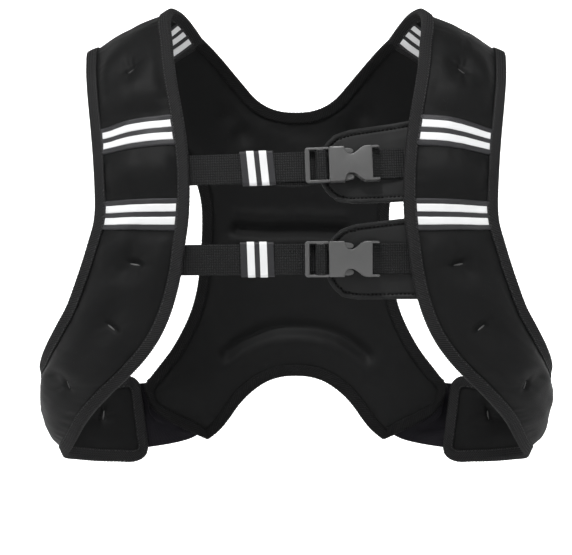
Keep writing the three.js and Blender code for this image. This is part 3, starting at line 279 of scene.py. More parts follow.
@dataclass
class ReadSheet:
    """A sheet-like solid of the frame: its points, its two broad faces and their rims."""

    points: Array
    triangles: dict[Side, list[tuple[int, ...]]]
    rims: dict[Side, list[int]]
    partner: dict[int, int]

    @classmethod
    def of(cls, source: Piece) -> "ReadSheet":
        """Reads a CAD node's mesh.

        Args:
            source: the node's object. Its mesh isn't changed.

        Returns:
            The sheet, with each outer rim point matched to the inner one across the edge.
        """
        mesh = bmesh.new()
        mesh.from_mesh(source.data)
        bmesh.ops.remove_doubles(mesh, verts=mesh.verts, dist=WELD)
        mesh.verts.index_update()
        mesh.faces.index_update()
        mesh.verts.ensure_lookup_table()
        mesh.faces.ensure_lookup_table()
        label = cls._labels(mesh)
        areas: dict[int, float] = {}
        for face in mesh.faces:
            areas[label[face.index]] = areas.get(label[face.index], 0.0) + face.calc_area()
        broad = sorted(areas, key=lambda key: -areas[key])[:2]
        facing = {
            key: sum(
                face.calc_area() * face.normal.to_2d().dot(face.calc_center_median().to_2d())
                for face in mesh.faces
                if label[face.index] == key
            )
            for key in broad
        }
        broad.sort(key=lambda key: -facing[key])
        triangles = {}
        for side, key in zip((Side.OUTER, Side.INNER), broad):
            inside = {v.index for face in mesh.faces if label[face.index] == key for v in face.verts}
            every = [tuple(v.index for v in face.verts) for face in mesh.faces]
            triangles[side] = [corners for corners in every if inside.issuperset(corners)]
        rims = {Side.INNER: cls.rim_of(triangles[Side.INNER])}
        inside = {index for corners in triangles[Side.INNER] for index in corners}
        partner = {}
        for index in rims[Side.INNER]:
            vert = mesh.verts[index]
            across = [e for e in vert.link_edges if e.other_vert(vert).index not in inside]
            nearest = min(across, key=lambda e: e.calc_length())
            partner[nearest.other_vert(vert).index] = index
        rims[Side.OUTER] = list(partner)
        points = np.array([v.co[:] for v in mesh.verts])
        mesh.free()
        return cls(points, triangles, rims, partner)

    @staticmethod
    def _labels(mesh: bmesh.types.BMesh) -> list[int]:
        """Number of the smooth region that each face lies in."""
        label = [-1] * len(mesh.faces)
        for seed in mesh.faces:
            if label[seed.index] >= 0:
                continue
            label[seed.index] = seed.index
            queue = [seed]
            while queue:
                face = queue.pop()
                for edge in face.edges:
                    if len(edge.link_faces) != 2 or edge.calc_face_angle(0.0) > SHARP:
                        continue
                    for other in edge.link_faces:
                        if label[other.index] < 0:
                            label[other.index] = seed.index
                            queue.append(other)
        return label

    @staticmethod
    def rim_of(triangles: Sequence[tuple[int, ...]]) -> list[int]:
        """Ordered points of the one closed line round some faces."""
        count: dict[tuple[int, int], int] = {}
        for corners in triangles:
            for a, b in zip(corners, corners[1:] + corners[:1]):
                key = (min(a, b), max(a, b))
                count[key] = count.get(key, 0) + 1
        following: dict[int, list[int]] = {}
        for (a, b), times in count.items():
            if times == 1:
                following.setdefault(a, []).append(b)
                following.setdefault(b, []).append(a)
        start = min(following)
        loop = [start, min(following[start])]
        while len(loop) < len(following):
            here, before = loop[-1], loop[-2]
            loop.append(next(p for p in following[here] if p != before))
        return loop

    def turn(self, side: Side, place: int) -> float:
        """How sharply a rim turns at one of its points."""
        rim = self.rims[side]
        a, b, c = (self.points[rim[(place + k) % len(rim)]] for k in (-1, 0, 1))
        first, second = unit(b - a), unit(c - b)
        return math.acos(float(np.clip(first @ second, -1, 1)))


class SheetGrid:
    """Both faces of a sheet-like solid as rows and columns of points."""

    def __init__(self, sheet: ReadSheet, columns: int, first: Callable[[Array], float]) -> None:
        """Walks the faces row by row.

        Args:
            sheet: the solid, as read.
            columns: how many points a row has. The first row lies between two sharp corners.
            first: a number for a point. Column 0 starts at the corner where it is lowest.
        """
        rim = sheet.rims[Side.OUTER]
        count = len(rim)
        turns = [sheet.turn(Side.OUTER, k) for k in range(count)]
        pairs = [(k, step) for k in range(count) for step in (1, -1)]
        total = {(k, step): turns[k] + turns[(k + step * (columns - 1)) % count] for k, step in pairs}
        sharp = [pair for pair in pairs if total[pair] > 0.8 * max(total.values())]
        place, step = min(sharp, key=lambda pair: (first(sheet.points[rim[pair[0]]]), -pair[1]))
        row = [rim[(place + step * k) % count] for k in range(columns)]
        starts = {Side.OUTER: row, Side.INNER: [sheet.partner[index] for index in row]}
        self.faces = {side: self._walk(sheet, side, start) for side, start in starts.items()}
        self.middle = (self.faces[Side.OUTER] + self.faces[Side.INNER]) / 2

    @staticmethod
    def _walk(sheet: ReadSheet, side: Side, row: list[int]) -> Array:
        """Points of one face, row by row.

        Args:
            sheet: the solid, as read.
            side: the face to walk.
            row: the points of its first row, in order.

        Returns:
            An array of rows, columns and coordinates.
        """
        rim = sheet.rims[side]
        count = len(rim)
        step = 1 if rim[(rim.index(row[0]) + 1) % count] != row[1] else -1
        edge = [rim[(rim.index(row[0]) + step * k) % count] for k in range(count)]
        far = [rim[(rim.index(row[-1]) - step * k) % count] for k in range(count)]
        owners: dict[tuple[int, int], list[int]] = {}
        for number, corners in enumerate(sheet.triangles[side]):
            for a, b in zip(corners, corners[1:] + corners[:1]):
                owners.setdefault((min(a, b), max(a, b)), []).append(number)
        rows = [row]
        used: set[int] = set()
        total = (count - 2 * (len(row) - 1)) // 2 + 1
        for place in range(1, total):
            tips = []
            here = rows[-1]
            for a, b in zip(here, here[1:]):
                number = next(n for n in owners[(min(a, b), max(a, b))] if n not in used)
                used.add(number)
                tips.append(next(p for p in sheet.triangles[side][number] if p not in (a, b)))
            following = tips + [far[place]] if tips[0] == edge[place] else [edge[place]] + tips
            strip = {n for n, corners in enumerate(sheet.triangles[side]) if set(here) & set(corners)}
            for a, b in zip(following, following[1:]):
                used.update(n for n in owners[(min(a, b), max(a, b))] if n in strip)
            rows.append(following)
        return sheet.points[np.array(rows)]

    def fine(self, rows_at: Array, columns_at: Array, step: float) -> dict[Side, "Surface"]:
        """Fine surfaces through both faces.

        Args:
            rows_at: length along at each row.
            columns_at: length across at each column.
            step: distance between fine points.

        Returns:
            The surface of each face.
        """
        return {
            side: Surface.through(grid, rows_at, columns_at, step)
            for side, grid in self.faces.items()
        }


@dataclass
class Surface:
    """A fine grid of points on one face, with its lengths along and across."""

    points: Array
    along: Array
    across: Array

    @classmethod
    def through(cls, grid: Array, rows_at: Array, columns_at: Array, step: float) -> "Surface":
        """Fine surface through a coarse grid.

        Args:
            grid: coarse rows and columns of points.
            rows_at: length along at each row.
            columns_at: length across at each column.
            step: distance between fine points.

        Returns:
            The fine surface.
        """
        along = even(rows_at[-1], step)
        across = even(columns_at[-1], step)
        rows = resample(grid, rows_at, along)
        points = resample(rows.transpose(1, 0, 2), columns_at, across).transpose(1, 0, 2)
        return cls(points, along, across)

    def normals(self) -> Array:
        """Unit normals, all on the same side of the grid."""
        du = np.gradient(self.points, self.along, axis=0)
        dv = np.gradient(self.points, self.across, axis=1)
        return unit(np.cross(du, dv))

    def lengths(self) -> tuple[Array, Array]:
        """Length along and length across at each point, as two arrays."""
        return np.meshgrid(self.along, self.across, indexing="ij")

    def read(self, s: Array, t: Array) -> Array:
        """Points on the surface at any places.

        Args:
            s: lengths along.
            t: lengths across, of the same shape.

        Returns:
            The points, in the shape of the lengths.
        """
        i = np.clip(s / self.along[-1] * (len(self.along) - 1), 0, len(self.along) - 1.001)
        j = np.clip(t / self.across[-1] * (len(self.across) - 1), 0, len(self.across) - 1.001)
        row, column = i.astype(int), j.astype(int)
        f, g = (i - row)[..., None], (j - column)[..., None]
        low = self.points[row, column] * (1 - g) + self.points[row, column + 1] * g
        high = self.points[row + 1, column] * (1 - g) + self.points[row + 1, column + 1] * g
        return low * (1 - f) + high * f


class MeshMaker:
    """Turns arrays into mesh objects at the origin."""

    @staticmethod
    def make(name: str, points: Array, faces: Array, uv: Array | None = None) -> Piece:
        """A smooth mesh object.

        Args:
            name: the piece's name.
            points: points of the mesh.
            faces: rows of four point numbers.
            uv: a pair of lengths for each point, as the mesh's own map.

        Returns:
            The object, linked to the scene.
        """
        mesh = bpy.data.meshes.new(name)
        mesh.from_pydata(points.reshape(-1, 3).tolist(), [], faces.tolist())
        mesh.validate()
        if uv is not None:
            layer = mesh.uv_layers.new(name="cloth")
            corners = np.empty(len(mesh.loops), dtype=np.int64)
            mesh.loops.foreach_get("vertex_index", corners)
            layer.data.foreach_set("uv", uv.reshape(-1, 2)[corners].astype(np.float32).ravel())
        smooth_faces(mesh)
        return link(name, mesh)

    @staticmethod
    def quads(rows: int, columns: int, wrap: bool = False) -> Array:
        """Faces of a grid of points.

        Args:
            rows: how many rows of points.
            columns: how many points in a row.
            wrap: whether each row closes on itself.

        Returns:
            Rows of four point numbers.
        """
        places = np.arange(columns if wrap else columns - 1)
        i, j = np.meshgrid(np.arange(rows - 1) * columns, places, indexing="ij")
        k = (j + 1) % columns
        return np.stack([i + j, i + columns + j, i + columns + k, i + k], -1).reshape(-1, 4)

    @classmethod
    def closed_sheet(cls, name: str, outer: Array, inner: Array, uv: Array) -> Piece:
        """A closed piece between two grids of the same shape.

        Args:
            name: the piece's name.
            outer: points of the outer face.
            inner: points of the inner face.
            uv: a pair of lengths for each point of a grid.

        Returns:
            The object, with its faces pointing out.
        """
        rows, columns = outer.shape[:2]
        top = cls.quads(rows, columns)
        low = top[:, ::-1] + rows * columns
        ring = np.concatenate([
            np.arange(columns),
            np.arange(1, rows) * columns + columns - 1,
            (rows - 1) * columns + np.arange(columns - 2, -1, -1),
            np.arange(rows - 2, 0, -1) * columns,
        ])
        after = np.roll(ring, -1)
        wall = np.stack([ring, after, after + rows * columns, ring + rows * columns], -1)
        points = np.concatenate([outer.reshape(-1, 3), inner.reshape(-1, 3)])
        faces = np.concatenate([top, low, wall])
        piece = cls.make(name, points, faces, np.concatenate([uv.reshape(-1, 2)] * 2))
        cls.face_out(piece)
        return piece

    @classmethod
    def swept(cls, name: str, sections: Array, uv: Array) -> Piece:
        """A closed body swept through closed sections.

        Args:
            name: the piece's name.
            sections: points, as stations and places round the section.
            uv: a pair of lengths for each of them.

        Returns:
            The object, capped at both ends.
        """
        stations, count = sections.shape[:2]
        body = cls.quads(stations, count, wrap=True)
        half = count // 2
        cap = np.array([[k, k + 1, count - 2 - k, count - 1 - k] for k in range(half - 1)])
        faces = np.concatenate([body, cap, cap[:, ::-1] + (stations - 1) * count])
        piece = cls.make(name, sections, faces, uv)
        cls.face_out(piece)
        return piece

    @staticmethod
    def face_out(piece: Piece) -> None:
        """Turns a closed piece's faces outwards."""
        mesh = bmesh.new()
        mesh.from_mesh(piece.data)
        bmesh.ops.recalc_face_normals(mesh, faces=mesh.faces)
        mesh.to_mesh(piece.data)
        mesh.free()


class Stitches:
    """Rows of thread, each stitch a small rounded bar that is copied along its row."""

    def __init__(self, length: float, width: float, height: float) -> None:
        """Models the one stitch.

        Args:
            length: a stitch's length.
            width: the thread's width.
            height: how far it stands up.
        """
        bpy.ops.object.select_all(action="DESELECT")
        bpy.ops.mesh.primitive_uv_sphere_add(segments=8, ring_count=5, radius=0.5)
        stitch = bpy.context.object
        bpy.ops.object.mode_set(mode="EDIT")
        bpy.ops.mesh.select_all(action="SELECT")
        bpy.ops.transform.rotate(value=math.pi / 2, orient_axis="Y", center_override=(0, 0, 0))
        bpy.ops.transform.resize(value=(length, width, height), center_override=(0, 0, 0))
        bpy.ops.object.mode_set(mode="OBJECT")
        self.points = points_of(stitch.data)
        self.faces = [tuple(p.vertices) for p in stitch.data.polygons]
        bpy.data.objects.remove(stitch)

    def sew(self, name: str, places: Array, along: Array, normal: Array) -> Piece:
        """One object with all the stitches of some rows.

        Args:
            name: the piece's name.
            places: the middle of each stitch.
            along: the direction of each.
            normal: which way is up at each.

        Returns:
            The thread's object.
        """
        along = unit(along)
        across = unit(np.cross(normal, along))
        up = np.cross(along, across)
        axes = np.stack([along, across, up], 1)
        points = places[:, None, :] + np.einsum("pk,nkc->npc", self.points, axes)
        faces = []
        size = len(self.points)
        for number in range(len(places)):
            faces += [tuple(index + number * size for index in face) for face in self.faces]
        mesh = bpy.data.meshes.new(name)
        mesh.from_pydata(points.reshape(-1, 3).tolist(), [], faces)
        smooth_faces(mesh)
        return link(name, mesh)


class NodeSheet:
    """A node tree that is written in short lines."""

    def __init__(self, tree: bpy.types.NodeTree) -> None:
        """Works on an empty tree."""
        self.tree = tree

    def add(self, kind: str, settings: dict | None = None, **inputs: object) -> bpy.types.Node:
        """Adds a node.

        Args:
            kind: the node's type.
            settings: properties of the node.
            **inputs: values or sockets for its inputs, with _ for a space, or _0, _1 for a number.

        Returns:
            The node.
        """
        node = self.tree.nodes.new(kind)
        for key, value in (settings or {}).items():
            setattr(node, key, value)
        for key, value in inputs.items():
            socket = node.inputs[int(key[1:])] if key[0] == "_" else node.inputs[key.replace("_", " ")]
            if isinstance(value, Socket):
                self.tree.links.new(value, socket)
            else:
                socket.default_value = value
        return node

    def math(self, operation: str, a: object, b: object = 0.0, clamp: bool = False) -> Socket:
        """Result of one sum."""
        node = self.add("ShaderNodeMath", {"operation": operation, "use_clamp": clamp}, _0=a, _1=b)
        return node.outputs[0]

    def times(self, a: object, b: object) -> Socket:
        """Product of two values."""
        return self.math("MULTIPLY", a, b)

    def plus(self, a: object, b: object) -> Socket:
        """Sum of two values."""
        return self.math("ADD", a, b)

    def sine(self, turn: object) -> Socket:
        """Sine of an angle."""
        return self.math("SINE", turn)

    def mix(self, share: object, a: object, b: object) -> Socket:
        """Colour between two colours."""
        node = self.add("ShaderNodeMix", {"data_type": "RGBA"}, _0=share, _6=a, _7=b)
        return node.outputs[2]

    def noise(self, place: Socket, scale: object, detail: float, roughness: float = 0.5) -> Socket:
        """Value of a soft noise at a place."""
        values = {"Vector": place, "Scale": scale, "Detail": detail, "Roughness": roughness}
        return self.add("ShaderNodeTexNoise", None, **values).outputs["Fac"]

    def group(self, tree: bpy.types.NodeTree, **inputs: object) -> Sockets:
        """Outlets of a shared group that is used here."""
        return self.add("ShaderNodeGroup", {"node_tree": tree}, **inputs).outputs


class ShaderGroups:
    """Node groups that more than one finish uses."""

    def __init__(self) -> None:
        """Builds the groups."""
        self.knit = self._knit()
        self.twill = self._twill()
        self.weave = self._weave()
        self.lint = self._lint()

    @staticmethod
    def _group(name: str, inputs: Sequence[str], outputs: Sequence[str]) -> tuple:
        """A new group with its sockets, of which the first inlet is a place."""
        tree = bpy.data.node_groups.new(name, "ShaderNodeTree")
        for label in inputs:
            kind = "NodeSocketVector" if label == "Vector" else "NodeSocketFloat"
            tree.interface.new_socket(name=label, in_out="INPUT", socket_type=kind)
        for label in outputs:
            tree.interface.new_socket(name=label, in_out="OUTPUT", socket_type="NodeSocketFloat")
        sheet = NodeSheet(tree)
        return sheet, sheet.add("NodeGroupInput").outputs

    def _knit(self) -> bpy.types.NodeTree:
        """Fine jersey face: tiny loops in wales, from Object coordinates."""
        sheet, inlet = self._group("jersey_face", ["Vector", "Scale"], ["Height", "Shade"])
        place, scale = inlet["Vector"], inlet["Scale"]
        settings = {"feature": "SMOOTH_F1"}
        loops = sheet.add("ShaderNodeTexVoronoi", settings, Vector=place, Scale=scale, Smoothness=0.6)
        fuzz = sheet.noise(place, sheet.times(scale, 2.3), 3.0)
        height = sheet.plus(sheet.times(loops.outputs["Distance"], -0.7), sheet.times(fuzz, 0.5))
        wide = sheet.noise(place, sheet.times(scale, 0.02), 4.0)
        sheet.add("NodeGroupOutput", None, Height=height, Shade=wide)
        return sheet.tree

    def _twill(self) -> bpy.types.NodeTree:
        """Slanting ribs of a woven tape, along the piece's own map, with painted highlight on the rib
        crests and painted shade in the grooves.
        """
        sheet, inlet = self._group("twill_ribs", ["Vector", "Pitch", "Slant"], ["Height", "Thread"])
        x, y, _ = sheet.add("ShaderNodeSeparateXYZ", None, Vector=inlet["Vector"]).outputs
        number = sheet.math("DIVIDE", 2 * math.pi, inlet["Pitch"])
        run = sheet.plus(x, sheet.times(y, inlet["Slant"]))
        rib = sheet.sine(sheet.times(run, number))
        cross = sheet.math("SUBTRACT", y, sheet.times(x, inlet["Slant"]))
        strand = sheet.sine(sheet.times(cross, sheet.times(number, 2.6)))
        height = sheet.plus(sheet.times(rib, 0.5), sheet.times(strand, 0.18))
        # colour share from the rib height: painted highlight on the crests, painted shade in the
        # grooves
        thread = sheet.math("POWER", sheet.times(sheet.plus(rib, 1.0), 0.5), 2.0)
        sheet.add("NodeGroupOutput", None, Height=height, Thread=thread)
        return sheet.tree

    def _weave(self) -> bpy.types.NodeTree:
        """Plain weave of a webbing: warp ribs that dip under weft threads, with painted highlight on
        the raised cells and painted shade in the grooves.
        """
        sheet, inlet = self._group("webbing_weave", ["Vector", "Along", "Across"], ["Height", "Thread"])
        x, y, _ = sheet.add("ShaderNodeSeparateXYZ", None, Vector=inlet["Vector"]).outputs
        weft = sheet.sine(sheet.times(x, sheet.math("DIVIDE", math.pi, inlet["Along"])))
        warp = sheet.sine(sheet.times(y, sheet.math("DIVIDE", math.pi, inlet["Across"])))
        cell = sheet.times(sheet.math("ABSOLUTE", warp), sheet.math("ABSOLUTE", weft))
        cell = sheet.math("POWER", cell, 0.5)
        over = sheet.math("GREATER_THAN", sheet.times(weft, warp), 0.0)
        height = sheet.plus(cell, sheet.times(over, 0.25))
        # colour share from the cells' height: painted highlight on the raised cells, painted shade in
        # the grooves
        sheet.add("NodeGroupOutput", None, Height=height, Thread=sheet.math("POWER", cell, 2.2))
        return sheet.tree

    def _lint(self) -> bpy.types.NodeTree:
        """Specks of lint and dust, from Object coordinates."""
        sheet, inlet = self._group("lint_specks", ["Vector", "Amount"], ["Mask"])
        place = inlet["Vector"]
        cells = sheet.add("ShaderNodeTexVoronoi", None, Vector=place, Scale=420.0, Randomness=1.0)
        reach = sheet.times(inlet["Amount"], 0.12)
        speck = sheet.math("LESS_THAN", cells.outputs["Distance"], reach)
        spread = sheet.math("SUBTRACT", sheet.noise(place, 18.0, 2.0), 0.45)
        patch = sheet.math("MULTIPLY", spread, 4.0, clamp=True)
        sheet.add("NodeGroupOutput", None, Mask=sheet.times(speck, patch))
        return sheet.tree


class Pattern(Enum):
    """What a finish's surface is covered with."""

    KNIT = "jersey_face"
    TWILL = "twill_ribs"
    WEAVE = "webbing_weave"
    GRAIN = "grain"


@dataclass(frozen=True)
class Finish:
    """One finish of the vest: its colours, gloss and surface pattern."""

    name: str
    slot: str
    pattern: Pattern
    dark: tuple[float, float, float]
    light: tuple[float, float, float]
    roughness: float
    bump: float
    depth: float
    pitch: float
    second: float = 0.0
    sheen: float = 0.0
    sheen_roughness: float = 0.5
    specular: float = 0.5
    lint: float = 0.0
    glow: float = 0.0

    def make(self, groups: ShaderGroups) -> bpy.types.Material:
        """Builds the finish's material.

        Args:
            groups: the shared node groups.

        Returns:
            The material.
        """
        material = bpy.data.materials.new(self.name)
        material.use_nodes = True
        material.node_tree.nodes.clear()
        sheet = NodeSheet(material.node_tree)
        places = sheet.add("ShaderNodeTexCoord").outputs
        height, shade = self._pattern(sheet, places, groups)
        place = places["Object"]
        variation = sheet.noise(place, 14.0, 5.0, 0.6)
        # colour share: painted highlight and shade on the relief for twill and weave, random tone for
        # the other patterns, plus random tone from the noise
        blend = sheet.plus(sheet.times(shade, 0.6), sheet.times(variation, 0.4))
        colour = sheet.mix(blend, (*self.dark, 1.0), (*self.light, 1.0))
        if self.lint > 0:
            specks = sheet.group(groups.lint, Vector=place, Amount=self.lint)
            colour = sheet.mix(sheet.times(specks["Mask"], 0.35), colour, (0.25, 0.25, 0.25, 1.0))
        rough = sheet.plus(self.roughness - 0.06, sheet.times(variation, 0.12))
        bump = sheet.add("ShaderNodeBump", None, Height=height, Strength=self.bump, Distance=self.depth)
        looks = {"Base_Color": colour, "Roughness": rough, "Normal": bump.outputs["Normal"]}
        shader = sheet.add("ShaderNodeBsdfPrincipled", None, **looks)
        shader.inputs["Sheen Weight"].default_value = self.sheen
        shader.inputs["Sheen Roughness"].default_value = self.sheen_roughness
        shader.inputs["Specular IOR Level"].default_value = self.specular
        # painted glow: the finish gives out its own colour as light, though it is no lamp
        if self.glow > 0:
            sheet.tree.links.new(colour, shader.inputs["Emission Color"])
            shader.inputs["Emission Strength"].default_value = self.glow
        sheet.add("ShaderNodeOutputMaterial", None, Surface=shader.outputs["BSDF"])
        return material

    def _pattern(self, sheet: NodeSheet, places: Sockets, groups: ShaderGroups) -> tuple:
        """Height and colour-share sockets of the finish's pattern; for twill and weave the share is
        painted highlight and painted shade on the relief.
        """
        whole, cloth = places["Object"], places["UV"]
        if self.pattern is Pattern.KNIT:
            knit = sheet.group(groups.knit, Vector=whole, Scale=1 / self.pitch)
            return knit["Height"], knit["Shade"]
        if self.pattern is Pattern.TWILL:
            twill = sheet.group(groups.twill, Vector=cloth, Pitch=self.pitch, Slant=self.second)
            return twill["Height"], twill["Thread"]
        if self.pattern is Pattern.WEAVE:
            weave = sheet.group(groups.weave, Vector=cloth, Along=self.pitch, Across=self.second)
            return weave["Height"], weave["Thread"]
        return sheet.noise(whole, 1 / self.pitch, 6.0, 0.7), sheet.noise(whole, 60.0, 3.0)


NEOPRENE = Finish(
    name="neoprene_jersey", slot="neoprene", pattern=Pattern.KNIT, dark=(0.0024, 0.0025, 0.0026),
    light=(0.0050, 0.0052, 0.0053), roughness=0.64, bump=0.35, depth=0.00022, pitch=0.00055,
    sheen=0.006, sheen_roughness=0.4, specular=0.14, lint=0.5,
)
FLAP_JERSEY = Finish(
    name="flap_jersey", slot="neoprene", pattern=Pattern.KNIT, dark=(0.0085, 0.0087, 0.0088),
    light=(0.0150, 0.0153, 0.0154), roughness=0.62, bump=0.35, depth=0.00022, pitch=0.00055,
    sheen=0.01, sheen_roughness=0.4, specular=0.18, lint=0.5,
)
BINDING = Finish(
    name="ribbed_binding", slot="binding", pattern=Pattern.TWILL, dark=(0.0006, 0.0006, 0.0006),
    light=(0.029, 0.029, 0.030), roughness=0.6, bump=0.9, depth=0.0003, pitch=0.0021, second=0.75,
    sheen=0.006, specular=0.13, lint=0.3,
)
# the binding tape at about half its brightness: painted shade on the back panel's bindings
BINDING_IN_PAINTED_SHADE = Finish(
    name="inner_binding", slot="binding", pattern=Pattern.TWILL, dark=(0.0004, 0.0004, 0.0004),
    light=(0.014, 0.014, 0.0145), roughness=0.62, bump=0.9, depth=0.0003, pitch=0.0021, second=0.75,
    sheen=0.003, specular=0.09, lint=0.3,
)
WEBBING = Finish(
    name="woven_webbing", slot="webbing", pattern=Pattern.WEAVE, dark=(0.0004, 0.0004, 0.0004),
    light=(0.0215, 0.022, 0.0225), roughness=0.55, bump=0.9, depth=0.0003, pitch=0.0019, second=0.0021,
    sheen=0.005, specular=0.12, lint=0.3,
)
BAND = Finish(
    name="satin_band", slot="band", pattern=Pattern.TWILL, dark=(0.012, 0.012, 0.0135),
    light=(0.036, 0.036, 0.039), roughness=0.45, bump=0.4, depth=0.00015, pitch=0.0009, second=0.0,
    sheen=0.02, specular=0.25,
)
# the reflective film has a painted glow, so it reads brighter than its lit colour
STRIPE = Finish(
    name="reflective_film", slot="stripe", pattern=Pattern.GRAIN, dark=(0.56, 0.565, 0.57),
    light=(0.66, 0.665, 0.67), roughness=0.38, bump=0.15, depth=0.0001, pitch=0.0007, glow=0.1,
)
ELASTIC = Finish(
    name="knitted_elastic", slot="elastic", pattern=Pattern.TWILL, dark=(0.003, 0.0025, 0.004),
    light=(0.010, 0.009, 0.013), roughness=0.72, bump=0.6, depth=0.0003, pitch=0.0016, second=0.0,
    sheen=0.04, specular=0.15,
)
PLASTIC = Finish(
    name="moulded_acetal", slot="plastic", pattern=Pattern.GRAIN, dark=(0.062, 0.062, 0.062),
    light=(0.082, 0.082, 0.082), roughness=0.36, bump=0.12, depth=0.0001, pitch=0.0005,
)
THREAD = Finish(
    name="sewing_thread", slot="binding", pattern=Pattern.GRAIN, dark=(0.006, 0.006, 0.006),
    light=(0.028, 0.028, 0.028), roughness=0.5, bump=0.2, depth=0.0001, pitch=0.0003,
)
# near-black thread: the flap's own dark thread, and on the back's bindings the binding thread in
# painted shade
FLAP_AND_SHADED_THREAD = Finish(
    name="flap_thread", slot="binding", pattern=Pattern.GRAIN, dark=(0.0006, 0.0006, 0.0006),
    light=(0.002, 0.002, 0.002), roughness=0.6, bump=0.2, depth=0.0001, pitch=0.0003, specular=0.1,
)
TACK_THREAD = Finish(
    name="tack_thread", slot="binding", pattern=Pattern.GRAIN, dark=(0.04, 0.04, 0.04),
    light=(0.08, 0.08, 0.08), roughness=0.4, bump=0.2, depth=0.0001, pitch=0.0003,
)


class Workshop:
    """Dresses finished pieces and keeps what they share."""

    def __init__(self, frame: dict) -> None:
        """Builds the shared node groups; each finish is built the first time it is used.
        """
        self.nodes: dict[str, Piece] = frame["nodes"]
        self.groups = ShaderGroups()
        self.materials: dict[str, bpy.types.Material] = {}
        self.count = 0

    def finish(self, finish: Finish) -> bpy.types.Material:
        """The material of a finish, built once."""
        if finish.name not in self.materials:
            self.materials[finish.name] = finish.make(self.groups)
        return self.materials[finish.name]

    def dress(self, piece: Piece, finish: Finish, replaces: Sequence[str] = ()) -> Piece:
        """Gives a piece its finish and its body.

        Args:
            piece: the finished piece, in place.
            finish: its finish.
            replaces: the CAD nodes that it stands for.

        Returns:
            The piece.
        """
        piece.data.materials.clear()
        piece.data.materials.append(self.finish(finish))
        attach(piece, BODY)
        if replaces:
            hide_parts(*replaces)
        self.count += 1
        LOG.info("%s: %d faces", piece.name, len(piece.data.polygons))
        return piece

    def sheet(self, node: str) -> ReadSheet:
        """Reads a CAD node as a sheet."""
        return ReadSheet.of(self.nodes[node])


@dataclass(frozen=True)
class Tack:
    """A tack stitch that pulls a pad in: its place, its slant and its hollow."""

    side: Side
    along: float
    across: float
    slant: float
    length: float = 9 * MM
    depth: float = 2.2 * MM
    reach: float = 13 * MM


@dataclass(frozen=True)
class ChestBand:
    """A band across the chest: its place as a share of the panel's length, its shift and its tilt."""

    word: str
    along: float
    shift: float
    tilt: float


@dataclass(frozen=True)
class Dip:
    """A wide hollow across a panel: its place and reach as shares of the length, and its depth."""

    along: float
    reach: float
    depth: float

    def at(self, s: Array, length: float) -> Array:
        """Its depth at lengths along the panel."""
        return self.depth * bell(s - self.along * length, self.reach * length)


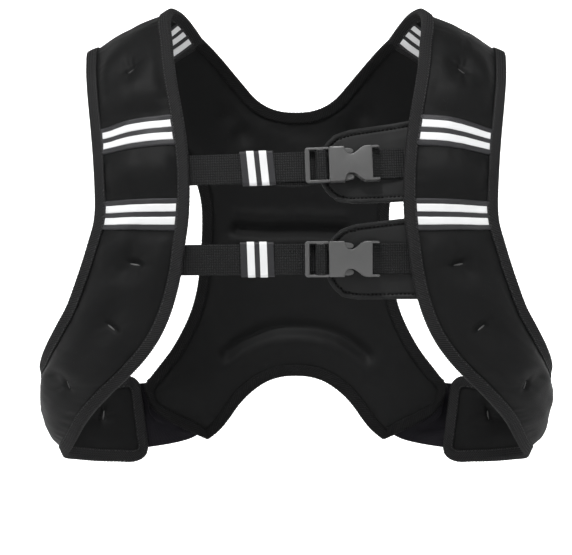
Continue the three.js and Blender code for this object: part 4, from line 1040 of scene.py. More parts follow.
@dataclass
class FrontPanel:
    """A padded front panel, from the rear shoulder seam to the rear end at the flank."""

    shop: Workshop
    hand: Hand
    step: float = 1.6 * MM
    bands: tuple[ChestBand, ...] = (
        ChestBand("upper", 0.302, 1.5 * MM, 1.7 * MM),
        ChestBand("lower", 0.409, 0.4 * MM, -0.5 * MM),
    )
    waist: Dip = Dip(0.79, 0.055, 3.4 * MM)
    shoulder: Dip = Dip(0.125, 0.05, 2.0 * MM)
    band_width: float = 25 * MM
    shoulder_band: tuple[float, float] = (1 * MM, 34 * MM)
    tacks: tuple[Tack, ...] = (
        Tack(Side.OUTER, 0.208, 0.46, 0.25),
        Tack(Side.OUTER, 0.4713, 0.435, -0.12),
        Tack(Side.OUTER, 0.558, 0.455, -0.5),
        Tack(Side.OUTER, 0.669, 0.45, -0.7),
        Tack(Side.INNER, 0.94, 0.6, 0.12, length=15 * MM, reach=16 * MM),
    )
    surfaces: dict[Side, Surface] = field(default_factory=dict)
    trees: dict[Side, BVHTree] = field(default_factory=dict)
    rim: dict[Side, Array] = field(default_factory=dict)

    def build(self) -> Piece:
        """Models the padded panel.

        Returns:
            The panel's object.
        """
        name = f"front_panel_{self.hand.word}"
        grid = SheetGrid(self.shop.sheet(name), PANEL_COLUMNS, lambda p: abs(p[0]))
        middle = PANEL_COLUMNS // 2
        rows_at = lengths_along(grid.middle[:, middle])
        columns_at = lengths_along(grid.middle[len(rows_at) // 2])
        self.surfaces = grid.fine(rows_at, columns_at, self.step)
        self.rim = {side: open_rim(points) for side, points in grid.faces.items()}
        self._orient()
        for side, surface in self.surfaces.items():
            lift = self._relief(side, surface)
            surface.points = surface.points + self.normal[side] * lift[..., None]
            self.trees[side] = tree_of(surface.points)
        outer, inner = self.surfaces[Side.OUTER], self.surfaces[Side.INNER]
        uv = np.stack(outer.lengths(), -1)
        piece = MeshMaker.closed_sheet(f"padded_{name}", outer.points, inner.points, uv)
        self.shop.dress(piece, NEOPRENE, [name])
        self._sew_tacks()
        return piece

    def _orient(self) -> None:
        """Finds the outward normals of both faces."""
        thickness = self.surfaces[Side.OUTER].points - self.surfaces[Side.INNER].points
        self.normal = {}
        for side, surface in self.surfaces.items():
            normals = surface.normals()
            sign = np.sign((normals * thickness).sum(-1).mean()) * side.value
            self.normal[side] = normals * sign

    def _relief(self, side: Side, surface: Surface) -> Array:
        """How far the sewing and the filling lift each point of a face.

        Args:
            side: the face.
            surface: its fine surface.

        Returns:
            The lift in metres, outwards.
        """
        s, t = surface.lengths()
        length, width = surface.along[-1], surface.across[-1]
        edge = np.minimum(np.minimum(t, width - t), length - s)
        free = ease(edge, BINDING_WIDTH * 0.6, BINDING_WIDTH * 2.2)
        seed = 11 * self.hand.value + side.value + 40
        calm = 0.35 + 0.65 * ease(s, 0.12 * length, 0.3 * length)
        lift = free * calm * 0.75 * MM * Ripples(seed, 0.035, 0.09)(s, t)
        lift += free * calm * 0.12 * MM * Ripples(seed + 1, 0.009, 0.022)(s, t)
        pucker = bell(edge - BINDING_WIDTH * 1.35, BINDING_WIDTH * 0.7)
        lift += calm * 0.2 * MM * pucker * Ripples(seed + 2, 0.006, 0.014)(s, s * 0)
        if side is Side.OUTER:
            lift -= self.waist.at(s, length)
            lift -= free * self.shoulder.at(s, length)
            for band in self.bands:
                near = np.abs(s - band.along * length) - self.band_width / 2
                lift -= free * 2.6 * MM * bell(np.maximum(near, 0), 9 * MM)
                lift += free * 1.2 * MM * bell(near - 20 * MM, 12 * MM)
        for tack in self.tacks:
            if tack.side is side:
                lift -= self._hollow(tack, s, t, length, width)
        return lift

    @staticmethod
    def _hollow(tack: Tack, s: Array, t: Array, length: float, width: float) -> Array:
        """Depth of the hollow round a tack, with the creases that run from its ends."""
        ds, dt = s - tack.along * length, t - tack.across * width
        run = dt * math.cos(tack.slant) + ds * math.sin(tack.slant)
        cross = -dt * math.sin(tack.slant) + ds * math.cos(tack.slant)
        past = np.maximum(np.abs(run) - tack.length / 2, 0)
        far = np.hypot(past, cross)
        groove = bell(far, 2.1 * MM) * tack.depth
        bowl = bell(far, tack.reach) * 1.9 * MM
        crease = bell(cross, 1.6 * MM) * bell(past, 8 * MM) * 0.7 * MM
        angle = np.arctan2(cross, run)
        pull = bell(far, tack.reach) * 0.3 * MM * np.cos(6 * angle + 0.7)
        return groove + bowl + crease + pull

    def _sew_tacks(self) -> None:
        """Lays the tacks' thread in their hollows."""
        stitch = Stitches(9 * MM, 1.5 * MM, 1.1 * MM)
        places, along, normals = [], [], []
        for tack in self.tacks:
            surface = self.surfaces[tack.side]
            s = tack.along * surface.along[-1]
            t = tack.across * surface.across[-1]
            i = int(np.searchsorted(surface.along, s))
            j = int(np.searchsorted(surface.across, t))
            du = unit(surface.points[i + 1, j] - surface.points[i - 1, j])
            dv = unit(surface.points[i, j + 1] - surface.points[i, j - 1])
            normal = self.normal[tack.side][i, j]
            places.append(surface.points[i, j] + normal * 0.5 * MM)
            along.append(dv * math.cos(tack.slant) + du * math.sin(tack.slant))
            normals.append(normal)
        lists = (np.array(rows) for rows in (places, along, normals))
        piece = stitch.sew(f"tacks_{self.hand.word}", *lists)
        self.shop.dress(piece, TACK_THREAD)

    def add_strips(self) -> None:
        """Sews on the bands with their reflective stripes."""
        length = self.surfaces[Side.OUTER].along[-1]
        hand = self.hand.word
        for band in self.bands:
            middle = band.along * length + band.shift
            node = f"{band.word}_band_{hand}"
            self._strip(node, Side.OUTER, middle, self.band_width, BAND, band.tilt)
            for number, sign in enumerate((-0.5, 0.5), start=1):
                node = f"{band.word}_stripe_{number}_{hand}"
                place = middle + sign * STRIPE_PITCH
                self._strip(node, Side.OUTER, place, STRIPE_WIDTH, STRIPE, band.tilt)
        low, high = self.shoulder_band
        middle = (low + high) / 2
        self._strip(f"shoulder_band_{hand}", Side.INNER, middle, high - low, BAND)
        for number, sign in enumerate((-1, 0, 1), start=1):
            place = middle + sign * STRIPE_PITCH
            self._strip(f"shoulder_stripe_{number}_{hand}", Side.INNER, place, STRIPE_WIDTH, STRIPE)

    def _strip(
        self, node: str, side: Side, middle: float, width: float, finish: Finish, tilt: float = 0.0
    ) -> None:
        """One band or stripe across the panel, a little domed at its edges.

        Args:
            node: the CAD node that it stands for.
            side: the face that it lies on.
            middle: its middle length along the panel.
            width: its width.
            finish: its finish.
            tilt: how much lower it lies at the arm side than at the neck side.
        """
        surface = self.surfaces[side]
        full = surface.across[-1]
        tuck = BINDING_WIDTH - 1.2 * MM if finish is BAND else BINDING_WIDTH + 0.4 * MM
        along = np.linspace(-width / 2, width / 2, max(9, round(width / (0.8 * MM))))
        across = np.linspace(tuck, full - tuck, 70)
        s, t = np.meshgrid(along, across, indexing="ij")
        lean = tilt * (np.abs(t / full - 0.2) ** 1.5 * 1.8 - 0.3)
        points = surface.read(s + middle + lean, t)
        away = unit(points - self.surfaces[other(side)].read(s + middle + lean, t))
        normals = Surface(points, along, across).normals()
        normals *= np.sign((normals * away).sum(-1).mean())
        base = 0.15 * MM if finish is BAND else 0.1 * MM + BAND_THICKNESS
        thickness = BAND_THICKNESS if finish is BAND else STRIPE_THICKNESS
        rim = np.minimum(s - along[0], along[-1] - s)
        dome = 0.45 + 0.55 * ease(rim, 0, 0.9 * MM)
        top = points + normals * (base + thickness * dome)[..., None]
        low = points + normals * (base - 0.25 * MM)
        piece = MeshMaker.closed_sheet(f"sewn_{node}", top, low, np.stack([t, s], -1))
        self.shop.dress(piece, finish, [node])


@dataclass
class ShoulderSeam:
    """Narrow tape over the seam between a front panel and the back panel."""

    panel: FrontPanel
    back: "BackPanel"
    width: float = 11 * MM
    thickness: float = 0.9 * MM
    settle: float = 3.5 * MM
    columns: int = 9

    def build(self) -> None:
        """Lays the tape on both faces of the seam."""
        for side, word in ((Side.OUTER, "outer"), (Side.INNER, "inner")):
            self._tape(side, f"seam_tape_{word}_{self.panel.hand.word}")

    def _tape(self, side: Side, name: str) -> None:
        """One tape, level with the panel's edge and running past it over the back panel."""
        surface = self.panel.surfaces[side]
        row = surface.points[0]
        run = unit(surface.points[0] - surface.points[3])
        normal = self.panel.normal[side][0]
        steps = np.linspace(-self.width / 2, self.width / 2, self.columns)
        height = self.thickness * np.sqrt(np.clip(1 - (steps / self.width * 2) ** 4, 0.04, 1))
        base = row[None] + run[None] * steps[:, None, None]
        share = ease(steps, 0, self.settle)[:, None, None]
        base = base + (nearest_on(self.back.trees[side], base) - base) * share
        top = base + normal[None] * (0.25 * MM + height)[:, None, None]
        low = base - normal[None] * 0.6 * MM
        uv = np.stack(np.meshgrid(steps, surface.across, indexing="ij"), -1)
        piece = MeshMaker.closed_sheet(name, top, low, uv)
        self.panel.shop.dress(piece, BINDING)


def other(side: Side) -> Side:
    """The face on the far side."""
    return Side.INNER if side is Side.OUTER else Side.OUTER


def tree_of(grid: Array) -> BVHTree:
    """A search tree of a grid of points."""
    faces = MeshMaker.quads(*grid.shape[:2])
    return BVHTree.FromPolygons(grid.reshape(-1, 3).tolist(), faces.tolist())


@dataclass
class EdgeBinding:
    """Tape folded round a panel's edge, draped on the faces that it covers."""

    shop: Workshop
    node: str
    rim: dict[Side, Array]
    trees: dict[Side, BVHTree]
    step: float = 0.8 * MM
    legs: int = 5
    nose: int = 5
    rib_pitch: float = 2.1 * MM
    rib_height: float = 0.3 * MM
    rounding: int = 16
    finish: Finish = BINDING

    def build(self) -> Piece:
        """Models the tape and its two rows of stitches.

        Returns:
            The tape's object.
        """
        middle = (self.rim[Side.OUTER] + self.rim[Side.INNER]) / 2
        at = lengths_along(middle)
        to = even(at[-1], self.step)
        edges = {side: eased(resample(rim, at, to), self.rounding) for side, rim in self.rim.items()}
        centre = (edges[Side.OUTER] + edges[Side.INNER]) / 2
        tangent = unit(np.gradient(centre, to, axis=0))
        up = unit(edges[Side.OUTER] - edges[Side.INNER])
        out = unit(np.cross(tangent, up))
        out *= self._outwards(edges[Side.OUTER], out)
        outer = self._leg(edges[Side.OUTER], out, up, Side.OUTER)
        inner = self._leg(edges[Side.INNER], out, -up, Side.INNER)
        turns = np.linspace(math.pi / 2, -math.pi / 2, self.nose + 2)[1:-1]
        height = np.linalg.norm(outer[:, -1] - inner[:, -1], axis=1)[:, None] / 2
        mid = (outer[:, -1] + inner[:, -1]) / 2
        depth = TAPE_THICKNESS + 0.5 * MM
        nose = np.stack([mid + up * height * math.sin(a) + out * depth * math.cos(a) for a in turns], 1)
        skin = np.concatenate([outer, nose, inner[:, ::-1]], 1)
        widths = np.concatenate([[0], np.cumsum(np.linalg.norm(np.diff(skin, axis=1), axis=2).mean(0))])
        normals = Surface(skin, to, widths).normals()
        normals *= np.sign((normals[:, len(widths) // 2] * out).sum(-1).mean())
        u, v = np.meshgrid(to, widths, indexing="ij")
        ribs = np.sin(2 * math.pi * (u + 0.75 * v) / self.rib_pitch)
        skin = skin + normals * (self.rib_height * ribs)[..., None]
        lining = skin - normals * TAPE_THICKNESS * 0.8
        sections = np.concatenate([skin, lining[:, ::-1]], 1)
        uv = np.stack([u, v], -1)
        piece = MeshMaker.swept(f"folded_{self.node}", sections, np.concatenate([uv, uv[:, ::-1]], 1))
        self.shop.dress(piece, self.finish, [self.node])
        self._stitch(skin, normals, to)
        return piece

    def _outwards(self, edge: Array, out: Array) -> float:
        """Which sign of out points away from the panel."""
        tree = self.trees[Side.OUTER]
        probe = 5 * MM
        total = 0.0
        for k in range(0, len(edge), 25):
            inside = tree.find_nearest(Vector(edge[k] - out[k] * probe))[3]
            outside = tree.find_nearest(Vector(edge[k] + out[k] * probe))[3]
            total += outside - inside
        return 1.0 if total > 0 else -1.0

    def _leg(self, edge: Array, out: Array, up: Array, side: Side) -> Array:
        """Points of one leg, from its foot to the edge.

        Args:
            edge: points of the panel's edge on this face.
            out: directions away from the panel.
            up: directions away from this face.
            side: the face.

        Returns:
            Stations and places across the leg.
        """
        depths = np.linspace(BINDING_WIDTH, 0, self.legs)
        leg = np.empty((len(edge), self.legs, 3))
        for j, depth in enumerate(depths):
            share = depth / BINDING_WIDTH
            lift = TAPE_THICKNESS + 0.25 * MM * math.sin(math.pi * share)
            leg[:, j] = nearest_on(self.trees[side], edge - out * depth) + up * lift
        return leg

    def _stitch(self, skin: Array, normals: Array, to: Array) -> None:
        """Sews both legs down beside their feet."""
        pitch, length = 3.4 * MM, 2.3 * MM
        stations = even(to[-1], pitch)[1:-1]
        columns = skin.shape[1]
        places, along, ups = [], [], []
        for a, b in ((0, 1), (columns - 1, columns - 2)):
            line = skin[:, a] * 0.45 + skin[:, b] * 0.55
            places.append(resample(line, to, stations))
            along.append(resample(np.gradient(line, to, axis=0), to, stations))
            ups.append(resample(normals[:, b], to, stations))
        stitch = Stitches(length, 0.62 * MM, 0.42 * MM)
        lists = (np.concatenate(rows) for rows in (places, along, ups))
        piece = stitch.sew(f"stitches_{self.node}", *lists)
        # stitches on the bindings in painted shade take the near-black thread, as painted shade
        self.shop.dress(piece, THREAD if self.finish is BINDING else FLAP_AND_SHADED_THREAD)


@dataclass
class BackPanel:
    """The padded back panel, with its sewn channels and its two bindings."""

    shop: Workshop
    levels: int = 2
    smoothing: int = 60
    smooth_reach: float = 24 * MM
    trees: dict[Side, BVHTree] = field(default_factory=dict)
    arch: tuple[Pair, ...] = (
        (-61, -268), (-50, -259), (-36, -252), (-17, -246), (0, -245),
        (17, -246), (38, -252), (51, -260), (63, -270),
    )
    tuck: tuple[Pair, ...] = ((-52, -157), (-25, -159), (5, -158.5), (42, -160))
    dimples: tuple[Pair, ...] = ((-60, -58), (-47, -74), (60, -57), (49, -71))

    def build(self) -> Piece:
        """Models the padded back.

        Returns:
            The back's object.
        """
        source = self.shop.nodes["back_panel"]
        self.sheet = self.shop.sheet("back_panel")
        piece = link("padded_back_panel", source.data.copy())
        mesh = bmesh.new()
        mesh.from_mesh(piece.data)
        bmesh.ops.remove_doubles(mesh, verts=mesh.verts, dist=WELD)
        flat = {"angle_face_threshold": 1.0, "angle_shape_threshold": math.pi}
        bmesh.ops.join_triangles(mesh, faces=mesh.faces, **flat)
        crease = mesh.edges.layers.float.new("crease_edge")
        for edge in mesh.edges:
            if len(edge.link_faces) == 2 and edge.calc_face_angle(0.0) > SHARP:
                edge[crease] = 1.0
        mesh.to_mesh(piece.data)
        mesh.free()
        self._apply(piece, "SUBSURF", levels=self.levels, render_levels=self.levels)
        self._relax(piece)
        self._apply(piece, "SUBSURF", levels=1, render_levels=1)
        self._lift(piece)
        smooth_faces(piece.data)
        self.shop.dress(piece, NEOPRENE, ["back_panel"])
        self._grow_trees(piece)
        return piece

    @staticmethod
    def _apply(piece: Piece, kind: str, **settings: object) -> None:
        """Adds a modifier and applies it."""
        select(piece)
        modifier = piece.modifiers.new(kind.lower(), kind)
        for key, value in settings.items():
            setattr(modifier, key, value)
        bpy.ops.object.modifier_apply(modifier=modifier.name)

    def _rim_distance(self, points: Array) -> Array:
        """Distance from each point to the panel's rim."""
        rim = self.sheet.points[np.array(self.sheet.rims[Side.OUTER])]
        closed = np.concatenate([rim, rim[:1]])
        at = lengths_along(closed)
        fine = resample(closed, at, even(at[-1], TRACE_STEP))
        return nearest_number(points, fine)[0]

    def _relax(self, piece: Piece) -> None:
        """Smooths the facets away, with the rim held."""
        points = points_of(piece.data)
        edges = np.array([e.vertices[:] for e in piece.data.edges])
        free = ease(self._rim_distance(points), 4 * MM, 9 * MM)
        near = bell(self._distance(self.arch, points[:, 0], points[:, 2]), self.smooth_reach)
        degree = np.bincount(edges.ravel(), minlength=len(points))[:, None]
        weights = [free] * 10 + [free * near] * self.smoothing
        for weight in weights:
            total = np.zeros_like(points)
            np.add.at(total, edges[:, 0], points[edges[:, 1]])
            np.add.at(total, edges[:, 1], points[edges[:, 0]])
            points += 0.5 * weight[:, None] * (total / degree - points)
        move_points(piece.data, points)

    def _lift(self, piece: Piece) -> None:
        """Adds the relief of the filling and the sewing."""
        points = points_of(piece.data)
        normals = np.array([v.normal[:] for v in piece.data.vertices])
        edge = self._rim_distance(points)
        free = ease(edge, BINDING_WIDTH * 0.7, BINDING_WIDTH * 2.4)
        x, z = points[:, 0], points[:, 2]
        lift = free * 0.9 * MM * Ripples(71, 0.04, 0.1)(x, z)
        lift += free * 0.12 * MM * Ripples(72, 0.009, 0.022)(x, z)
        pucker = bell(edge - BINDING_WIDTH * 1.35, BINDING_WIDTH * 0.7)
        lift += 0.22 * MM * pucker * Ripples(73, 0.007, 0.015)(x, z)
        for line, depth, reach in ((self.arch, 4.6 * MM, 5.5 * MM), (self.tuck, 5.5 * MM, 5.0 * MM)):
            lift -= free * depth * bell(self._distance(line, x, z), reach)
            lift += free * 0.4 * depth * bell(self._distance(line, x, z - 2.4 * reach), 1.2 * reach)
            lift += free * 0.5 * depth * bell(self._distance(line, x, z + 2.4 * reach), 1.5 * reach)
        lift -= free * 1.8 * MM * bell(self._distance(self.arch, x, z - 9 * MM), 9 * MM)
        for px, pz in self.dimples:
            lift -= free * 4.0 * MM * bell(np.hypot(x - px * MM, z - pz * MM), 9 * MM)
        move_points(piece.data, points + normals * lift[:, None])

    @staticmethod
    def _distance(line: Sequence[Pair], x: Array, z: Array) -> Array:
        """Distance to a sewn line, whose points are given in mm."""
        route = np.array(line) * MM
        at = lengths_along(route)
        fine = resample(route, at, even(at[-1], TRACE_STEP))
        best = np.full(len(x), FAR)
        for px, pz in fine:
            best = np.minimum(best, np.hypot(x - px, z - pz))
        return best

    def _grow_trees(self, piece: Piece) -> None:
        """Search trees of both faces, for the bindings to lie on."""
        mesh = piece.data
        points = points_of(mesh).tolist()
        for side in Side:
            faces = [p.vertices[:] for p in mesh.polygons if p.normal.y * side.value > 0.1]
            self.trees[side] = BVHTree.FromPolygons(points, faces)

    def bindings(self) -> None:
        """Folds tape round the neck and round the sides, wings and arch."""
        rim = self.sheet.rims[Side.OUTER]
        for node in ("neck_binding", "back_hem_binding"):
            data = self.shop.nodes[node].data
            faces = [polygon.vertices[:] for polygon in data.polygons]
            tree = BVHTree.FromPolygons(points_of(data).tolist(), faces)
            near = [tree.find_nearest(Vector(self.sheet.points[k]))[3] < 1.8 * MM for k in rim]
            start = next(k for k in range(len(rim)) if near[k] and not near[k - 1])
            run = []
            k = start
            while near[k % len(rim)] and len(run) < len(rim):
                run.append(rim[k % len(rim)])
                k += 1
            outer = self.sheet.points[np.array(run)]
            inner = self.sheet.points[np.array([self.sheet.partner[index] for index in run])]
            rims = {Side.OUTER: outer, Side.INNER: inner}
            # the back's bindings take the binding tape in painted shade
            EdgeBinding(self.shop, node, rims, self.trees, finish=BINDING_IN_PAINTED_SHADE).build()


@dataclass
class StrapFrame:
    """A chest strap's own frame, read from its webbing: along, up and front, with a middle point."""

    shop: Workshop
    level: str

    def __post_init__(self) -> None:
        """Finds the axes from the flat faces of the long webbing."""
        sheet = self.shop.nodes[f"{self.level}_webbing_long"].data
        areas: dict[tuple[int, ...], list] = {}
        for polygon in sheet.polygons:
            normal = polygon.normal
            if normal.y > 0.2 or (abs(normal.y) <= 0.2 and normal.z < 0):
                continue
            key = tuple(round(c * 20) for c in normal)
            entry = areas.setdefault(key, [0.0, Vector((0, 0, 0))])
            entry[0] += polygon.area
            entry[1] += normal * polygon.area
        ranked = sorted(areas.values(), key=lambda entry: -entry[0])
        self.front = np.array(ranked[0][1].normalized())
        front = Vector(self.front)
        level = [entry for entry in ranked if abs(entry[1].normalized().dot(front)) < 0.1]
        upper = next(entry for entry in level if entry[1].z > 0.5 * entry[0])
        self.up = unit(np.array(upper[1]))
        self.along = unit(np.cross(self.up, self.front))
        if self.along[0] < 0:
            self.along = -self.along
        self.axes = np.stack([self.along, self.up, self.front])
        low, high = self.raw_box(f"{self.level}_webbing_long", np.zeros(3))
        self.origin = np.zeros(3)
        self.origin = self.axes.T @ np.array([0.0, (low[1] + high[1]) / 2, self._web_middle()])

    def _web_middle(self) -> float:
        """Front level of the middle of the long webbing where it is flat."""
        data = self.shop.nodes[f"{self.level}_webbing_long"].data
        flat = [p for p in data.polygons if Vector(self.front).dot(p.normal) > 0.999]
        flat.sort(key=lambda p: -p.area)
        return float(np.dot(self.front, flat[0].center)) - WEBBING_THICKNESS / 2

    def raw_box(self, node: str, origin: Array) -> tuple[Array, Array]:
        """A node's box along the strap's axes, from a point."""
        local = (points_of(self.shop.nodes[node].data) - origin) @ self.axes.T
        return local.min(0), local.max(0)

    def box(self, node: str) -> tuple[Array, Array]:
        """A node's box in the strap's frame."""
        return self.raw_box(node, self.origin)

    def place(self, local: Array) -> Array:
        """Points of the strap's frame as points of the vest's frame."""
        return local @ self.axes + self.origin

    def settle(self, piece: Piece) -> None:
        """Moves a piece's mesh from the strap's frame to its place."""
        move_points(piece.data, self.place(points_of(piece.data)))


def inset(low: float, high: float, gap: float) -> Pair:
    """A range that is smaller by a gap at both ends."""
    return low + gap, high - gap


def rounded_box(
    x0: float, x1: float, y0: float, y1: float, radius: float, steps: int = 5
) -> list[Pair]:
    """Outline of a rectangle with round corners, anticlockwise."""
    points = []
    for cx, cy, start in ((x1, y1, 0), (x0, y1, 90), (x0, y0, 180), (x1, y0, 270)):
        sx, sy = (1 if cx == x1 else -1), (1 if cy == y1 else -1)
        for k in range(steps + 1):
            a = math.radians(start + 90 * k / steps)
            x = cx - sx * radius + radius * math.cos(a)
            y = cy - sy * radius + radius * math.sin(a)
            points.append((x, y))
    return points


def even_path(points: Sequence, step: float, closed: bool) -> Array:
    """A flat path with its long runs cut into even steps.

    Args:
        points: its corners.
        step: longest step.
        closed: whether the last corner joins the first.

    Returns:
        The path's points, with the corners kept.
    """
    corners = np.array(points)
    ends = np.roll(corners, -1, axis=0) if closed else corners[1:]
    path = []
    for a, b in zip(corners, ends):
        count = max(1, math.ceil(float(np.linalg.norm(b - a)) / step))
        path += [a + (b - a) * k / count for k in range(count)]
    if not closed:
        path.append(corners[-1])
    return np.array(path)


def plate(
    name: str, outlines: Sequence[Sequence[Pair]], low: float, high: float, bevel: float
) -> Piece:
    """A plate with rounded edges, from a flat curve with holes.

    Args:
        name: the plate's name.
        outlines: the outer line first, then the holes, in metres.
        low: level of its back.
        high: level of its front.
        bevel: radius of its edges.

    Returns:
        The plate as a mesh object.
    """
    curve = bpy.data.curves.new(name, "CURVE")
    curve.dimensions = "2D"
    curve.fill_mode = "BOTH"
    curve.extrude = (high - low) / 2 - bevel
    curve.bevel_depth = bevel
    curve.bevel_resolution = 2
    curve.offset = -bevel
    for outline in outlines:
        spline = curve.splines.new("POLY")
        spline.points.add(len(outline) - 1)
        for point, (x, y) in zip(spline.points, outline):
            point.co = (x, y, 0, 1)
        spline.use_cyclic_u = True
    select(link(name, curve))
    bpy.ops.object.convert(target="MESH")
    piece = bpy.context.object
    move_points(piece.data, points_of(piece.data) + np.array([0, 0, (low + high) / 2]))
    mesh = bmesh.new()
    mesh.from_mesh(piece.data)
    bmesh.ops.remove_doubles(mesh, verts=mesh.verts, dist=1e-6)
    bmesh.ops.recalc_face_normals(mesh, faces=mesh.faces)
    mesh.to_mesh(piece.data)
    mesh.free()
    return piece


def bar(
    name: str, along: Pair, up: Pair, levels: Pair, radius: float, bevel: float, steps: int = 5
) -> Piece:
    """A bar with round corners.

    Args:
        name: the bar's name.
        along: its two ends along the strap.
        up: its lower and its upper edge.
        levels: its back and its front.
        radius: radius of its corners, as seen from the front.
        bevel: radius of its edges.
        steps: how many steps a corner has.

    Returns:
        The bar as a mesh object.
    """
    return plate(name, [rounded_box(*along, *up, radius, steps)], *levels, bevel)


def join(pieces: Sequence[Piece], name: str) -> Piece:
    """Joins some objects into one."""
    select(*pieces)
    bpy.ops.object.join()
    whole = bpy.context.object
    whole.name = name
    whole.data.name = name
    return whole


def shade_edges(piece: Piece, angle: float = 35) -> None:
    """Shades a hard piece smooth, with its sharp edges kept."""
    select(piece)
    bpy.ops.object.shade_smooth_by_angle(angle=math.radians(angle))


@dataclass
class Buckle:
    """A side-release buckle: an adjuster frame with spring arms, in a body with two release bays."""

    frame: StrapFrame
    bar: float = 3.4 * MM
    slot: float = 6.4 * MM
    adjuster: float = 5.0 * MM
    rail: float = 1.9 * MM
    shell: float = 1.9 * MM
    bay_place: float = 12.3 * MM
    bay_length: float = 18 * MM
    bay_depth: float = 6.8 * MM
    horn: float = 6 * MM

    def build(self) -> None:
        """Models both halves in place."""
        self.male_low, self.male_high = self.frame.box(f"{self.frame.level}_buckle_male")
        self.body_low, self.body_high = self.frame.box(f"{self.frame.level}_buckle_body")
        self._male()
        self._body()

    def _male(self) -> None:
        """Frame with a slot, an adjuster bar, two spring arms and a guide."""
        (x0, y0, z0), (_, y1, z1) = self.male_low, self.male_high
        half = (y1 - y0) / 2
        mouth = self.body_low[0]
        inner = half - self.rail
        first = (x0 + self.bar, x0 + self.bar + self.slot)
        second = (first[1] + self.adjuster, mouth - 0.3 * MM)
        outline = rounded_box(x0, mouth + 1 * MM, -half, half, 2.2 * MM)
        holes = [rounded_box(*slot, -inner, inner, 0.7 * MM, 3) for slot in (first, second)]
        frame = plate("adjuster_frame", [outline, *holes], z0, z1, 0.55 * MM)
        joint = (first[0] - 0.4 * MM, first[0] + 0.4 * MM)
        levels = inset(z0, z1, (z1 - z0) * 0.28)
        rails = bar("adjuster_rails", joint, (-inner, inner), levels, 0.3 * MM, 0.3 * MM, 2)
        arms = [self._arm(mouth, half, sign, z0, z1) for sign in (1, -1)]
        along, up = (mouth - 0.2 * MM, mouth + self.bay_place), (-2.2 * MM, 2.2 * MM)
        guide = bar("guide", along, up, inset(z0, z1, 0.4 * MM), 1.5 * MM, 0.4 * MM)
        whole = join([frame, rails, guide, *arms], f"adjuster_{self.frame.level}")
        shade_edges(whole)
        self.frame.settle(whole)
        self.frame.shop.dress(whole, PLASTIC, [f"{self.frame.level}_buckle_male"])

    def _arm(self, mouth: float, half: float, sign: int, z0: float, z1: float) -> Piece:
        """A spring arm that ends in a rounded tab with its grip in the release bay."""
        start = mouth + self.bay_place + 0.35 * MM
        tab = start + 7.2 * MM
        arm = half - 2.1 * MM
        points = [(mouth - 0.2 * MM, arm), (start - 0.6 * MM, arm), (start, half - 1.2 * MM)]
        for k in range(9):
            a = math.radians(90 - 180 * k / 8)
            x = tab - 4.4 * MM + 4.4 * MM * math.cos(a)
            y = half - 3.9 * MM + 2.6 * MM * math.sin(a)
            points.append((x, y))
        points += [(start + 1 * MM, arm - 4.2 * MM), (mouth - 0.2 * MM, arm - 3.6 * MM)]
        outline = [(x, sign * y) for x, y in points]
        if sign > 0:
            outline.reverse()
        return plate("spring_arm", [outline], *inset(z0, z1, 0.2 * MM), 0.5 * MM)

    def _body(self) -> None:
        """Hollow body: two shells joined by walls, with a bay in each side and a bar at its end."""
        (x0, y0, z0), (x1, y1, z1) = self.body_low, self.body_high
        half = (y1 - y0) / 2
        end = x1 - self.horn
        outline = self._side_line(x0, end, half, 1) + self._side_line(x0, end, half, -1)[::-1]
        front = plate("front_shell", [outline], z1 - self.shell, z1, 0.8 * MM)
        back = plate("back_shell", [outline], z0, z0 + self.shell, 0.8 * MM)
        deep = half - self.bay_depth
        bay = x0 + self.bay_place
        levels = inset(z0, z1, 0.5 * MM)
        parts = [front, back]
        for sign in (1, -1):
            up = inset(sign * deep, sign * deep, -1.4 * MM)
            parts.append(bar("rib", (bay + 9 * MM, end), up, levels, 0.6 * MM, 0.2 * MM))
        for sign in (1, -1):
            up = sorted((sign * half, sign * (half - 1.6 * MM)))
            parts.append(bar("cheek", (x0 + 0.2 * MM, bay), up, levels, 0.5 * MM, 0.3 * MM))
        for sign in (1, -1):
            outline = self._end_cheek(x0, x1, half, sign)
            parts.append(plate("end_cheek", [outline], *inset(z0, z1, 0.4 * MM), 0.5 * MM))
        along, up = (end - 9.5 * MM, end - 7.5 * MM), inset(-half, half, 1.5 * MM)
        parts.append(bar("end_wall", along, up, levels, 0.5 * MM, 0.3 * MM))
        whole = join(parts, f"buckle_body_{self.frame.level}")
        shade_edges(whole)
        self.frame.settle(whole)
        self.frame.shop.dress(whole, PLASTIC, [f"{self.frame.level}_buckle_body"])

    def _side_line(self, x0: float, end: float, half: float, sign: int) -> list[Pair]:
        """One long side of the shells, with the curved cut of its bay."""
        start = x0 + self.bay_place
        deep = half - self.bay_depth
        points = [(end, half), (start + self.bay_length + 3 * MM, half)]
        for k in range(1, 12):
            share = k / 12
            x = start + self.bay_length - share * (self.bay_length - 5 * MM)
            points.append((x, half - self.bay_depth * float(ease(np.array(share), 0.0, 1.0))))
        for k in range(1, 7):
            a = math.radians(90 * k / 6)
            x = start + 5 * MM - 5 * MM * math.sin(a)
            points.append((x, deep + self.bay_depth * (1 - math.cos(a))))
        points += [(start - 0.6 * MM, half), (x0 + 1.2 * MM, half), (x0, half - 1.2 * MM)]
        return [(x, sign * y) for x, y in points]

    def _end_cheek(self, x0: float, x1: float, half: float, sign: int) -> list[Pair]:
        """Outline of a side wall at the webbing's end, with the horn that stands past it."""
        start = x0 + self.bay_place + self.bay_length - 2 * MM
        points = [
            (start, half - 1.2 * MM), (start + 2.5 * MM, half), (x1 - 1.2 * MM, half),
            (x1, half - 0.9 * MM), (x1 - 0.6 * MM, half - 1.9 * MM), (start + 1 * MM, half - 1.9 * MM),
        ]
        line = [(x, sign * y) for x, y in points]
        return line[::-1] if sign > 0 else line


